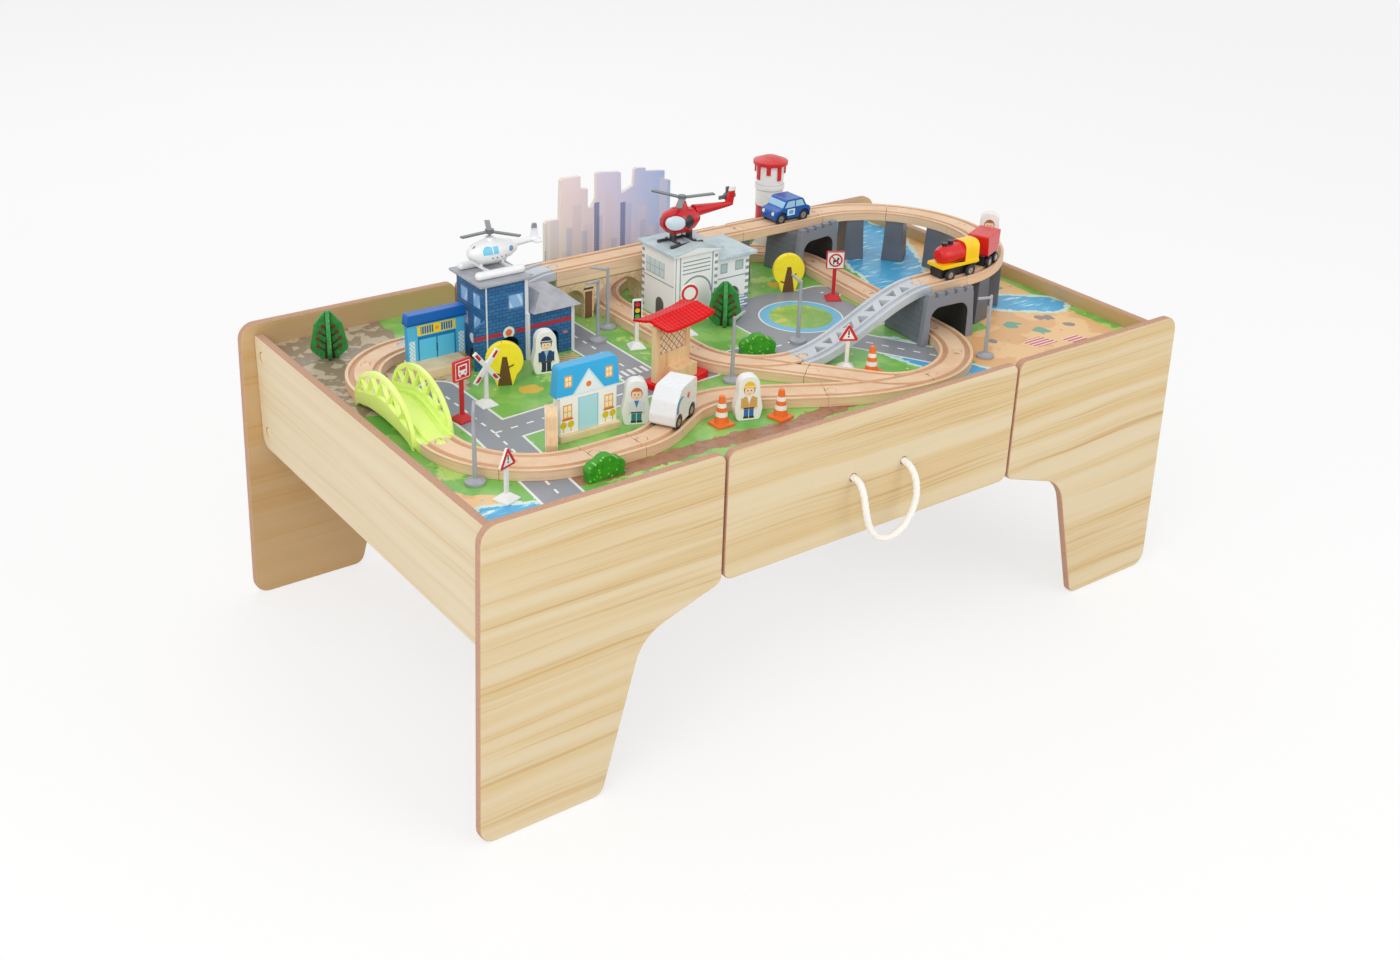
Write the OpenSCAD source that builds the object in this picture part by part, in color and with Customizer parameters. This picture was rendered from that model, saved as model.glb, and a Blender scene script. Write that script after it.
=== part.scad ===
// Train table: a low play table with one drawer, carrying a wooden railway and a toy town.
// Millimetres. X runs along the table, the drawer opens towards -Y, Z is up, floor at Z = 0.

/* [Table] */
// Length of the table along its top edge
table_length = 980; // [970:1:1040]
// Width over the outer faces of the front and rear panels
table_width = 575; // [570:1:630]
// Height of the top edge above the floor
table_height = 357; // [330:1:420]
// Thickness of the upright panels
panel_thickness = 10; // [8:0.5:17]
// Height of the rim above the play board
rim_height = 30; // [20:1:40]
// Thickness of the play board
board_thickness = 6; // [4:0.5:9]
// Height of the apron above the leg openings
apron_height = 150; // [140:1:165]
// How far each foot leans out past the top edge
foot_splay = 10; // [4:1:20]
// Width of one foot on the floor
foot_width = 143; // [110:1:150]
// Radius of the arch between leg and apron
knee_radius = 50; // [30:1:60]
// Radius of the outer top corners
corner_radius = 20; // [8:1:30]
// Radius of the corners where panels and drawer front meet
seam_radius = 11; // [4:1:14]
// Height of an end rail
rail_height = 143; // [120:1:150]
// How far the end rails stand in from the table's end
rail_inset = 16; // [12:1:18]
// Height of the two strips that carry the board
bearer_height = 29; // [20:1:32]
bearer_thickness = 15; // [10:1:20]
// Diameter of a cam fitting
cam_diameter = 14; // [10:1:16]

/* [Drawer] */
// Width of the drawer front
drawer_width = 416; // [380:1:430]
// Gap on each side of the drawer front
drawer_gap = 3; // [2:0.5:4]
// Height of the drawer sides
drawer_side_height = 66; // [50:1:68]
// Thickness of the drawer sides and back
drawer_side_thickness = 12; // [8:1:14]
// Thickness of the drawer bottom
drawer_bottom_thickness = 4; // [3:0.5:6]
// Depth of the drawer box behind its front
drawer_depth = 503; // [420:1:510]
// Distance between the two rope holes
rope_spacing = 74; // [66:1:90]
// Diameter of the rope
rope_diameter = 8; // [6:0.5:9]

/* [Railway] */
// Width of a track
track_width = 40; // [37:0.5:41]
// Thickness of a track
track_height = 12; // [11:0.5:13]
// Depth of the wheel grooves
groove_depth = 3; // [2.5:0.1:3.5]
// Height of the raised line above the board
raised_height = 57; // [54:1:60]
// Diameter of a joining peg's head
peg_diameter = 11; // [9:0.5:12]
// Radius of the wheels of the train
train_wheel_radius = 7.5; // [7:0.1:7.8]
// Radius of the wheels of the car and the ambulance
road_wheel_radius = 8; // [7.5:0.1:8.4]

/* [Town] */
// Height of the tall brick tower
tower_height = 100; // [80:1:110]
// Height of the low brick wing
wing_height = 58; // [45:1:70]
// Height of the station's walls
station_height = 88; // [76:1:92]
// Height of the shelter's posts
shelter_height = 68; // [60:1:76]
// Height of the street lamps
lamp_height = 80; // [60:1:90]
// Height of a traffic cone
cone_height = 34; // [26:1:40]
// Height of a tree board
tree_height = 59; // [50:1:66]
// Height of a peg figure
figure_height = 52; // [44:1:58]

/* [Hidden] */
$fn = 48;
slip = 0.3;
running = 0.05;
half_x = table_length / 2;
half_y = table_width / 2;
in_y = half_y - panel_thickness;
board_z = table_height - rim_height;
apron_z = table_height - apron_height;
mid_x = drawer_width / 2 + drawer_gap;
rail_out = half_x - rail_inset;
rail_in = rail_out - panel_thickness;
rail_top = table_height - 13;
board_low = board_z - board_thickness;
bearer_z = board_low - bearer_height;
box_x = drawer_width / 2 - 18;
guide_in = box_x + 1;
ledge_z = apron_z + 7;
box_z = ledge_z + 0.4;
front_back = -in_y - 0.5;
rope_x = rope_spacing / 2;
rope_z = apron_z + 73;
cam_zs = [rail_top - 22, rail_top - rail_height + 24];
cam_in = 20;
fitting_depth = panel_thickness - 2.5;
pin_radius = 3;

groove_in = 10;
groove_out = 16;
joint_gap = 0.4;
peg_reach = 8;
peg_neck = 5;
branch_trim = 0.2;
low_z = board_z;
high_z = board_z + raised_height;
low_top = low_z + track_height;
high_top = high_z + track_height;
wheel_y = 13;
wheel_thick = 3.6;
axle_radius = 1.5;
train_axle_z = train_wheel_radius - groove_depth + slip;
road_axle_z = road_wheel_radius - groove_depth + slip;

// Points of a polygon whose corners [x, y, r] are rounded to their own radius
function unit(v) = v / norm(v);
function corner(a, p, b, r, n) = r <= 0 ? [p] :
    let (u = unit(a - p), v = unit(b - p), h = acos(u * v) / 2)
    let (c = p + unit(u + v) * (r / sin(h)), s = p + u * (r / tan(h)), e = p + v * (r / tan(h)))
    let (t0 = atan2(s[1] - c[1], s[0] - c[0]), t1 = atan2(e[1] - c[1], e[0] - c[0]))
    let (sweep = (t1 - t0 + 540) % 360 - 180)
    [for (i = [0 : n]) c + r * [cos(t0 + sweep * i / n), sin(t0 + sweep * i / n)]];
function flat(p) = [p[0], p[1]];
function rounded(p, n = 6) = [for (i = [0 : len(p) - 1])
    each corner(flat(p[(i + len(p) - 1) % len(p)]), flat(p[i]), flat(p[(i + 1) % len(p)]), p[i][2], n)];
function arc(cx, cy, rx, ry, t0, t1, n) =
    [for (i = [0 : n]) let (t = t0 + (t1 - t0) * i / n) [cx + rx * cos(t), cy + ry * sin(t)]];

// A board standing along X: the 2D shape is seen from the front, y0 is its front face
module upright(y0, t) {
    translate([0, y0 + t, 0])
        rotate([90, 0, 0])
            linear_extrude(t) children();
}

// A board standing along Y: the 2D shape is seen from +X, x0 is its left face
module sideways(x0, t) {
    translate([x0, 0, 0])
        rotate([90, 0, 90])
            linear_extrude(t) children();
}

module box(x0, x1, y0, y1, z0, z1) {
    translate([x0, y0, z0])
        cube([x1 - x0, y1 - y0, z1 - z0]);
}

module at(x, y, z, turn = 0) {
    translate([x, y, z])
        rotate([0, 0, turn]) children();
}

module pair_x() {
    children();
    mirror([1, 0, 0]) children();
}

module pair_y() {
    children();
    mirror([0, 1, 0]) children();
}

// Cam fittings: a round cam in the rail's outer face and a pin from it into the panel
module cam_shape(grow = 0) {
    for (z = cam_zs) {
        translate([rail_out - fitting_depth - grow, in_y - cam_in, z])
            rotate([0, 90, 0])
                cylinder(d = cam_diameter + 2 * grow, h = fitting_depth + 2 * grow);
        translate([(rail_in + rail_out) / 2, in_y - cam_in, z])
            rotate([-90, 0, 0])
                cylinder(r = pin_radius + grow, h = cam_in + fitting_depth + grow);
    }
}

module cam_fittings() {
    color([0.72, 0.72, 0.72])
        pair_x() pair_y() cam_shape();
}

// Leg panel: apron end and leg cut from one board, with the foot leaning outwards
module leg_outline() {
    polygon(rounded([
        [mid_x, table_height, seam_radius],
        [half_x, table_height, corner_radius],
        [half_x + foot_splay, 0, 18],
        [half_x + foot_splay - foot_width, 0, 14],
        [half_x - 181, apron_z - 32, knee_radius],
        [mid_x, apron_z, seam_radius]
    ]));
}

module leg_panel() {
    color([0.89, 0.8, 0.65])
        difference() {
            upright(-half_y, panel_thickness) leg_outline();
            mirror([0, 1, 0]) cam_shape(running);
        }
}

module front_right_panel() { leg_panel(); }
module front_left_panel() { mirror([1, 0, 0]) leg_panel(); }
module rear_right_panel() { mirror([0, 1, 0]) leg_panel(); }
module rear_left_panel() { mirror([1, 0, 0]) mirror([0, 1, 0]) leg_panel(); }

// Outline of the drawer front and of the panel behind it
module middle_outline() {
    w = drawer_width / 2;
    r = seam_radius;
    polygon(rounded([[-w, apron_z, r], [w, apron_z, r], [w, table_height, r], [-w, table_height, r]]));
}

module rear_middle_panel() {
    color([0.89, 0.8, 0.65])
        upright(in_y, panel_thickness) middle_outline();
}

module end_rail() {
    z0 = rail_top - rail_height;
    color([0.89, 0.8, 0.65])
        difference() {
            sideways(rail_in, panel_thickness)
                polygon(rounded([
                    [-in_y, z0, 15], [in_y, z0, 15], [in_y, rail_top, 5], [-in_y, rail_top, 5]
                ]));
            pair_y() cam_shape(running);
        }
}

module right_end_rail() { end_rail(); }
module left_end_rail() { mirror([1, 0, 0]) end_rail(); }

module play_board() {
    color([0.55, 0.72, 0.42])
        box(-rail_in, rail_in, -in_y, in_y, board_low, board_z);
}

module board_bearers() {
    color([0.86, 0.74, 0.55])
        pair_y() box(-rail_in, rail_in, in_y - bearer_thickness, in_y, bearer_z, board_low);
}

// Drawer guides: L-shaped boards hung under the play board between the two bearers
module drawer_guides() {
    y = in_y - bearer_thickness;
    color([0.86, 0.74, 0.55])
        pair_x() union() {
            box(guide_in, guide_in + 15, -y, y, ledge_z - 9, board_low);
            box(guide_in - 15, guide_in + 1, -y, y, ledge_z - 9, ledge_z);
        }
}

module drawer_front() {
    color([0.89, 0.8, 0.65])
        difference() {
            upright(-half_y, panel_thickness - 0.5) middle_outline();
            pair_x() translate([rope_x, -half_y - 1, rope_z])
                rotate([-90, 0, 0])
                    cylinder(d = rope_diameter + 0.6, h = panel_thickness + 2);
        }
}

module drawer_sides() {
    color([0.93, 0.91, 0.86])
        pair_x() box(box_x - drawer_side_thickness, box_x, front_back, front_back + drawer_depth,
            box_z, box_z + drawer_side_height);
}

module drawer_back() {
    x = box_x - drawer_side_thickness;
    y1 = front_back + drawer_depth;
    color([0.93, 0.91, 0.86])
        box(-x, x, y1 - drawer_side_thickness, y1, box_z, box_z + drawer_side_height);
}

module drawer_bottom() {
    x = box_x - drawer_side_thickness;
    color([0.9, 0.87, 0.8])
        box(-x, x, front_back, front_back + drawer_depth - drawer_side_thickness,
            box_z, box_z + drawer_bottom_thickness);
}

// Rope handle: one cord swept along points [x, y from the front face, z from the holes, radius]
rope_half = [
    [-1, panel_thickness + 11, 0, 3], [-1, panel_thickness + 9, 0, 6.5],
    [-1, panel_thickness + 3, 0, 6.5], [-1, panel_thickness + 0.5, 0, 4],
    [-1, panel_thickness / 2, 0, 4], [-1, -3, 0, 4], [-1, -12, -3, 4], [-1.02, -20, -14, 4], [-1, -24, -30, 4],
    [-0.9, -25, -45, 4], [-0.72, -25, -58, 4], [-0.45, -25, -68, 4]
];
rope_ends = [for (p = rope_half)
    [p[0] * rope_x, p[1] - half_y, p[2] + rope_z, p[3] * rope_diameter / 8]];
rope_path = concat(rope_ends, [[0, -half_y - 25, rope_z - 73, rope_diameter / 2]],
    [for (i = [len(rope_ends) - 1 : -1 : 0]) let (p = rope_ends[i]) [-p[0], p[1], p[2], p[3]]]);
rope_sides = 10;
function point(i) = [rope_path[i][0], rope_path[i][1], rope_path[i][2]];
function along(i) = unit(point(min(i + 1, len(rope_path) - 1)) - point(max(i - 1, 0)));
function rope_ring(i) = let (t = along(i), s = unit(cross(t, [0.05, 1, 0.6])), u = cross(t, s))
    [for (k = [0 : rope_sides - 1]) point(i)
        + rope_path[i][3] * (s * cos(360 * k / rope_sides) + u * sin(360 * k / rope_sides))];

module rope_handle() {
    n = len(rope_path);
    m = rope_sides;
    points = [for (i = [0 : n - 1]) each rope_ring(i)];
    sides = [for (i = [0 : n - 2]) for (k = [0 : m - 1])
        [i * m + k, i * m + (k + 1) % m, (i + 1) * m + (k + 1) % m, (i + 1) * m + k]];
    color([0.9, 0.85, 0.75])
        polyhedron(points, concat([[for (k = [m - 1 : -1 : 0]) k]], sides,
            [[for (k = [0 : m - 1]) (n - 1) * m + k]]));
}

// Track pieces run along +X from the origin; a left curve bends towards +Y
module track_profile() {
    w = track_width / 2;
    g = track_height - groove_depth;
    h = track_height;
    polygon([
        [-w, 0], [w, 0], [w, h], [groove_out, h], [groove_out, g], [groove_in, g], [groove_in, h],
        [-groove_in, h], [-groove_in, g], [-groove_out, g], [-groove_out, h], [-w, h]
    ]);
}

module run_straight(length) {
    rotate([90, 0, 90])
        linear_extrude(length) children();
}

module run_left(radius, turn) {
    translate([0, radius, 0])
        rotate([0, 0, -90])
            rotate_extrude(angle = turn, $fn = 96)
                translate([radius, 0]) children();
}

module end_left(radius, turn) {
    translate([radius * sin(turn), radius * (1 - cos(turn)), 0])
        rotate([0, 0, turn]) children();
}

module peg() {
    translate([-1, -peg_neck / 2, 0])
        cube([peg_reach + 1, peg_neck, track_height - 0.4]);
    translate([peg_reach, 0, 0])
        cylinder(d = peg_diameter, h = track_height - 0.4);
}

module socket() {
    reach = peg_reach - joint_gap;
    translate([-1, -peg_neck / 2 - slip, -1])
        cube([reach + 1, peg_neck + 2 * slip, track_height + 2]);
    translate([reach, 0, -1])
        cylinder(d = peg_diameter + 2 * slip, h = track_height + 2);
}

module straight_piece(length, with_peg = true, with_socket = true) {
    difference() {
        run_straight(length - joint_gap) track_profile();
        if (with_socket)
            socket();
    }
    if (with_peg)
        translate([length - joint_gap, 0, 0]) peg();
}

module left_piece(radius, turn, with_peg = true, with_socket = true) {
    stop = turn - joint_gap / radius * 180 / PI;
    difference() {
        run_left(radius, stop) track_profile();
        if (with_socket)
            socket();
    }
    if (with_peg)
        end_left(radius, stop) peg();
}

module right_piece(radius, turn, with_peg = true, with_socket = true) {
    mirror([0, 1, 0]) left_piece(radius, turn, with_peg, with_socket);
}

// A curve cut into equal pieces that follow each other
module left_run(radius, turn, count) {
    for (i = [0 : count - 1])
        translate([0, radius, 0])
            rotate([0, 0, i * turn])
                translate([0, -radius, 0])
                    left_piece(radius, turn);
}

// Plan of the railway: start points and headings of each stretch
loop_radius = 90;
wide_radius = 112;
front_end = [126, -225];
sweep_radius = 108.4;
sweep_turn = 85;
rear_line_y = 237.5;
rear_line_end = 32;
side_start = front_end + sweep_radius * [sin(sweep_turn), 1 - cos(sweep_turn)];
side_length = (rear_line_y - side_start[1] - loop_radius * (1 + cos(sweep_turn))) / 2 / sin(sweep_turn);
side_run = side_length * [cos(sweep_turn), sin(sweep_turn)];
bend_start = side_start + 2 * side_run;
bend_end_x = bend_start[0] - loop_radius * sin(sweep_turn);
lower_curves = [
    [-330, 172, 180, 45, loop_radius], [-420, -72, -90, 45, wide_radius],
    [rear_line_end, rear_line_y, 180, 45, loop_radius],
    [bend_start[0], bend_start[1], sweep_turn, 90 - sweep_turn / 2, loop_radius]
];
upper_radius = 138;
upper_y = 172;
upper_x = 282;
ramp_y = -104;
ramp_length = 190;
ramp_front_x = 32;
ramp_rear_x = -330;
viaduct_x = -140;
viaduct_end = 10;
stretch = [upper_x - viaduct_end, 2];

module curved_tracks() {
    color([0.88, 0.73, 0.58]) {
        for (c = lower_curves)
            at(c[0], c[1], low_z, c[2]) left_run(c[4], c[3], 2);
        at(front_end[0], front_end[1], low_z) left_run(sweep_radius, sweep_turn / 2, 2);
        at(-250, -184, low_z) left_piece(loop_radius, 31);
        at(-171.9, -152.1, low_z, 31) right_piece(loop_radius, 59);
        at(upper_x, upper_y, high_z) mirror([0, 1, 0]) left_run(upper_radius, 45, 4);
    }
}

module straight_tracks() {
    half = stretch[0] / stretch[1];
    color([0.88, 0.73, 0.58]) {
        at(-308, -184, low_z) straight_piece(58);
        at(-203.6, -171.1, low_z, 31) straight_piece(37);
        at(-83.3, -149.8, low_z, -28) straight_piece(92.5);
        for (i = [0, 1])
            at(side_start[0] + i * side_run[0], side_start[1] + i * side_run[1], low_z, sweep_turn)
                straight_piece(side_length);
        at(bend_end_x, rear_line_y, low_z, 180) straight_piece(bend_end_x - rear_line_end);
        at(-58, 147.5, low_z, -90) straight_piece(80.8);
        at(-58, 66.7, low_z, -90) straight_piece(80.7);
        at(viaduct_x, upper_y, high_z) straight_piece(viaduct_end - viaduct_x);
        for (i = [0 : stretch[1] - 1])
            at(viaduct_end + i * half, upper_y, high_z) straight_piece(half);
        at(upper_x, ramp_y, high_z, 180) straight_piece(60);
    }
}

// Switches: two lines that part from one. Each line bends to the left and then runs straight:
// [radius, turn, straight reach, trim]
function beside(radius, turn, reach, side) = [
    radius * sin(turn) + reach * cos(turn) + side * sin(turn),
    radius * (1 - cos(turn)) + reach * sin(turn) - side * cos(turn)
];

module branch(radius, turn, reach, low, high, start) {
    steps = 16;
    from = start / radius * 180 / PI;
    step = (turn - from) / steps;
    polygon(concat(
        [for (i = [0 : steps]) beside(radius, from + i * step, 0, high)],
        [beside(radius, turn, reach, high), beside(radius, turn, reach, low)],
        [for (i = [steps : -1 : 0]) beside(radius, from + i * step, 0, low)]
    ));
}

module line_ends(lines) {
    for (l = lines)
        end_left(l[0], l[1]) translate([l[2], 0, 0]) children();
}

// The children are cut out of the two lines
module parting(lines, start) {
    edge = track_width / 2;
    groove = groove_out - groove_in;
    difference() {
        for (l = lines)
            linear_extrude(track_height)
                branch(l[0], l[1], l[2], l[3] - edge, edge - l[3], start + l[3]);
        for (l = lines, g = [-groove_out, groove_in])
            translate([0, 0, track_height - groove_depth])
                linear_extrude(groove_depth + 1)
                    branch(l[0], l[1], l[2] + 1, g + l[3], g - l[3] + groove, l[3] - 1);
        children();
    }
}

straight_end = 0.2;

// Under the shelter: the line from the rear splits to the ramp and to the front
module ramp_switch() {
    stop = 90 - (joint_gap + straight_end) / loop_radius * 180 / PI;
    lines = [[loop_radius, stop, straight_end, 0], [loop_radius, 40, 86 - joint_gap, branch_trim]];
    color([0.88, 0.73, 0.58])
        at(-58, -14, low_z, -90) {
            parting(lines, 0) socket();
            line_ends(lines) peg();
        }
}

// At the front: two lines join and go on to the right
module front_switch() {
    lines = [[272, 28, straight_end, 0], [73.85, 50, 79.49, branch_trim]];
    color([0.88, 0.73, 0.58])
        at(front_end[0], front_end[1], low_z, 180) mirror([0, 1, 0]) {
            parting(lines, joint_gap)
                line_ends(lines) rotate([0, 0, 180]) socket();
            translate([joint_gap, 0, 0]) rotate([0, 0, 180]) peg();
        }
}

// Plastic bridge: humped grooved deck between two lens-shaped trusses
bridge_length = 154;
bridge_mid = 5;
bridge_x = -420;
bridge_rise = 15;
function hump(y, z0, rise) = z0 + rise * (1 + cos(360 * y / bridge_length)) / 2;
function hump_line(z0, rise, n) = [for (i = [0 : n])
    let (y = -bridge_length / 2 + bridge_length * i / n) [y, hump(y, z0, rise)]];
function back(p) = [for (i = [len(p) - 1 : -1 : 0]) p[i]];

module bridge_deck_outline(top, under) {
    polygon(concat(hump_line(top, bridge_rise, 24), back(hump_line(under, bridge_rise - 2, 24))));
}

// Height of the truss's upper rim, and its zigzag of triangular openings
truss_half = 68;
truss_open = 0.84;
truss_pitch = 25;
function rim(y) = 5 + 54 * sqrt(max(0, 1 - y * y / truss_half / truss_half));
function sill(y) = hump(y, track_height + 5, bridge_rise);
function shrunk(p, k) = let (c = (p[0] + p[1] + p[2]) / 3) [for (q = p) c + (q - c) * k];

module truss_outline() {
    t = truss_half;
    difference() {
        polygon(concat([[t, 0]], arc(0, 5, t, 54, 0, 180, 28), [[-t, 0], [4 - t, 0]],
            arc(0, 0, t - 4, 12, 176, 4, 20), [[t - 4, 0]]));
        for (i = [-2 : 2])
            let (y = i * truss_pitch, h = truss_pitch / 2)
            polygon(shrunk([[y - h, sill(y - h)], [y + h, sill(y + h)], [y, rim(y) - 4]], truss_open));
        for (i = [-2 : 1])
            let (y = i * truss_pitch, w = y + truss_pitch, m = y + truss_pitch / 2)
            polygon(shrunk([[y, rim(y) - 4], [w, rim(w) - 4], [m, sill(m)]], truss_open));
    }
}

module lime_bridge() {
    long = bridge_length - joint_gap;
    color([0.83, 0.95, 0.4])
        at(bridge_x, bridge_mid, low_z) {
            difference() {
                intersection() {
                    sideways(-track_width / 2, track_width) bridge_deck_outline(track_height, 0);
                    box(-30, 30, -long / 2, long / 2, -1, 80);
                }
                for (s = [-1, 1])
                    sideways(s * wheel_y - (groove_out - groove_in) / 2, groove_out - groove_in)
                        bridge_deck_outline(track_height + 1, track_height - groove_depth);
                translate([0, bridge_length / 2, 0]) rotate([0, 0, -90]) socket();
            }
            translate([0, -long / 2, 0]) rotate([0, 0, -90]) peg();
            pair_x() sideways(track_width / 2 - 1, 5) truss_outline();
        }
}

// Plastic ramp: S-shaped grooved slope with triangular holes along its middle
function ramp_z(u) = raised_height * u * u * (3 - 2 * u);
function ramp_line(z0, n) = [for (i = [0 : n]) [ramp_length * i / n, z0 + ramp_z(i / n)]];

module ramp_band(top, under) {
    polygon(concat(ramp_line(top, 28), back(ramp_line(under, 28))));
}

module ramp(ends) {
    long = ramp_length - joint_gap;
    holes = 9;
    pitch = (ramp_length - 44) / holes;
    difference() {
        union() {
            upright(-track_width / 2, track_width) ramp_band(track_height, 1.5);
            box(0, 18, -track_width / 2, track_width / 2, 0, 4);
        }
        for (s = [-1, 1])
            upright(s * wheel_y - (groove_out - groove_in) / 2, groove_out - groove_in)
                ramp_band(track_height + 2, track_height - groove_depth);
        for (i = [0 : holes - 1])
            let (x = 24 + pitch * i, s = i % 2 == 0 ? 1 : -1)
            translate([x, 0, -1])
                linear_extrude(raised_height + 20)
                    polygon([[0, -6.5 * s], [pitch - 3, -6.5 * s], [(pitch - 3) / 2, 6.5 * s]]);
        if (ends == "sockets") {
            socket();
            translate([ramp_length, 0, raised_height]) rotate([0, 0, 180]) socket();
        }
        if (ends == "pegs") {
            box(-1, joint_gap, -30, 30, -1, 40);
            box(long, long + 5, -30, 30, -1, 120);
        }
    }
    if (ends == "pegs") {
        translate([joint_gap, 0, 0]) rotate([0, 0, 180]) peg();
        translate([long, 0, raised_height]) peg();
    }
}

module grey_ramps() {
    color([0.8, 0.82, 0.83]) {
        at(ramp_front_x, ramp_y, low_z) ramp("sockets");
        at(ramp_rear_x, upper_y, low_z) ramp("pegs");
    }
}

// Tunnel: portal with battlements in front, stone walls leaning inwards behind it
module arch_outline(half, top, radius) {
    polygon(rounded([[-half, -1, 0], [half, -1, 0], [half, top, radius], [-half, top, radius]]));
}

module tunnel(length) {
    h = raised_height;
    difference() {
        union() {
            upright(8, length - 8) polygon([[-38, 0], [38, 0], [33, h], [-33, h]]);
            upright(0, 8) polygon([[-41, 0], [41, 0], [36, h + 3], [-36, h + 3]]);
            for (i = [-2 : 2])
                box(i * 15 - 5, i * 15 + 5, 0, 8, h + 2, h + 9);
        }
        upright(-1, length + 2) arch_outline(29.5, 47.5, 15);
    }
}

module track_tunnels() {
    color([0.4, 0.41, 0.44]) {
        at(237, -143, low_z, -4) tunnel(76);
        at(257, 129, low_z, 8) tunnel(64);
    }
}

pier_turns = [65, 39, 11, -48, -76];

module pier() {
    upright(-19, 38) polygon([[-15, 0], [15, 0], [12, raised_height], [-12, raised_height]]);
}

module track_piers() {
    color([0.42, 0.43, 0.46]) {
        for (t = pier_turns)
            at(upper_x + upper_radius * cos(t), 34 + upper_radius * sin(t), low_z, t + 90) pier();
        at(146, upper_y, low_z) pier();
    }
}

module stone_viaduct() {
    color([0.82, 0.72, 0.58])
        difference() {
            box(viaduct_x, viaduct_end, upper_y - 20, upper_y + 20, low_z, high_z);
            upright(upper_y - 21, 42) translate([-116, low_z])
                polygon(concat([[16, -1]], arc(0, 24, 16, 16, 0, 180, 24), [[-16, -1]]));
            upright(upper_y - 21, 42) translate([-47, low_z])
                polygon(concat([[39, -1]], arc(0, 6, 39, 39, 0, 180, 32), [[-39, -1]]));
        }
}

// Brick tower and wing: boxes of thin printed board with an arched doorway each
wall = 4;
tower_x = [-277, -221];
tower_y = [80, 148];
wing_x = [-221, -161];
wing_y = [77, 137];

module shell(x, y, h) {
    difference() {
        box(x[0], x[1], y[0], y[1], 0, h);
        box(x[0] + wall, x[1] - wall, y[0] + wall, y[1] - wall, -1, h + 1);
    }
}

module door_cut(x, y, half, spring) {
    upright(y - 1, wall + 2) translate([x, 0])
        polygon(concat([[half, -1]], arc(0, spring, half, half, 0, 180, 20), [[-half, -1]]));
}

module police_walls() {
    color([0.12, 0.22, 0.38])
        translate([0, 0, low_z])
            difference() {
                union() {
                    shell(tower_x, tower_y, tower_height);
                    shell([wing_x[0] - wall, wing_x[1]], wing_y, wing_height);
                    upright(tower_y[0], wall)
                        translate([tower_x[0], 0])
                            polygon([[-15, 0], [1, 0], [1, 60], [-15, 50]]);
                }
                door_cut(-248, tower_y[0], 14, 20);
                door_cut(-191, wing_y[0], 8, 22);
                box(tower_x[1] - 5, wing_x[0] + 1, tower_y[0] + wall, wing_y[1] - wall, -1, wing_height - 4);
            }
}

function hip_face(span, z, over, inset, rise) = [
    [span[0] - over, z], [span[1] + over, z],
    [span[1] + over - inset, z + rise], [span[0] - over + inset, z + rise]
];

module hip_roof(x, y, over, z, rise, inset) {
    intersection() {
        upright(y[0] - over, y[1] - y[0] + 2 * over)
            polygon(hip_face(x, z, over, inset, rise));
        sideways(x[0] - over, x[1] - x[0] + 2 * over)
            polygon(hip_face(y, z, over, inset, rise));
    }
}

module police_roofs() {
    color([0.7, 0.72, 0.75])
        translate([0, 0, low_z]) {
            translate([0, 0, tower_height])
                box(tower_x[0] - 8, tower_x[1] + 4, tower_y[0] - 3, tower_y[1] + 3, 0, 3);
            hip_roof([wing_x[0] + 7, wing_x[1]], wing_y, 6, wing_height, 17, 20);
        }
}

// Station: a tall block and a lower wing of printed board, with flat overhanging roofs.
// The block's roof has a low gable over its front
block_x = [-19, 48];
block_y = [76, 146];
hall_x = [48, 100];
hall_y = [80, 140];
hall_drop = 16;
gable_depth = 16;

module station_walls() {
    h = station_height;
    color([0.88, 0.88, 0.88])
        translate([0, 0, low_z])
            difference() {
                union() {
                    shell(block_x, block_y, h);
                    shell([hall_x[0] - wall, hall_x[1]], hall_y, h - hall_drop);
                }
                door_cut(5, block_y[0], 9, 18);
                door_cut(74, hall_y[0], 12, 20);
                translate([0, 0, -1])
                    box(block_x[1] - 5, hall_x[0] + 1, hall_y[0] + wall, hall_y[1] - wall, 0, h - 21);
            }
}

module station_roofs() {
    h = station_height;
    color([0.62, 0.68, 0.72])
        translate([0, 0, low_z]) {
            box(block_x[0] - 5, block_x[1] + 5, block_y[0] - 4, block_y[1] + 5, h, h + 4);
            upright(block_y[0] - 4, gable_depth)
                polygon([
                    [block_x[0] - 5, h + 3], [block_x[1] + 5, h + 3],
                    [block_x[1] + 5, h + 4], [(block_x[0] + block_x[1]) / 2, h + 12],
                    [block_x[0] - 5, h + 4]
                ]);
            translate([0, 0, h - hall_drop])
                box(hall_x[0] + slip, hall_x[1] + 7, hall_y[0] - 7, hall_y[1] + 6, 0, 4);
        }
}

module garage_block() {
    color([0.75, 0.82, 0.85])
        translate([0, 0, low_z]) {
            box(-356, -284, 118, 127, 0, 58);
            box(-357, -293, 88, 130, 0, 11);
            upright(116, 13)
                polygon(rounded([[-358, 56, 1], [-282, 56, 1], [-284, 69, 2], [-356, 69, 2]], 3));
        }
}

module house_block() {
    color([0.95, 0.95, 0.93])
        translate([0, 0, low_z]) {
            upright(-126, 14)
                polygon(rounded([
                    [-306, 0, 0], [-236, 0, 0], [-236, 49, 0], [-232, 49, 1],
                    [-236, 84, 4], [-307, 84, 4], [-310, 49, 1], [-306, 49, 0]
                ], 4));
            box(-308, -234, -131, -107, 0, 8);
        }
}

// Platform shelter: red platform, wooden posts with a back panel and a bench, tiled roof
shelter = [-114, -63, 15];
platform_height = 7;

module canopy_platform() {
    color([0.8, 0.08, 0.1])
        at(shelter[0], shelter[1], low_z, shelter[2])
            linear_extrude(platform_height)
                polygon(rounded([[-38, -19, 3], [38, -19, 3], [38, 19, 3], [-38, 19, 3]]));
}

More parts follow.
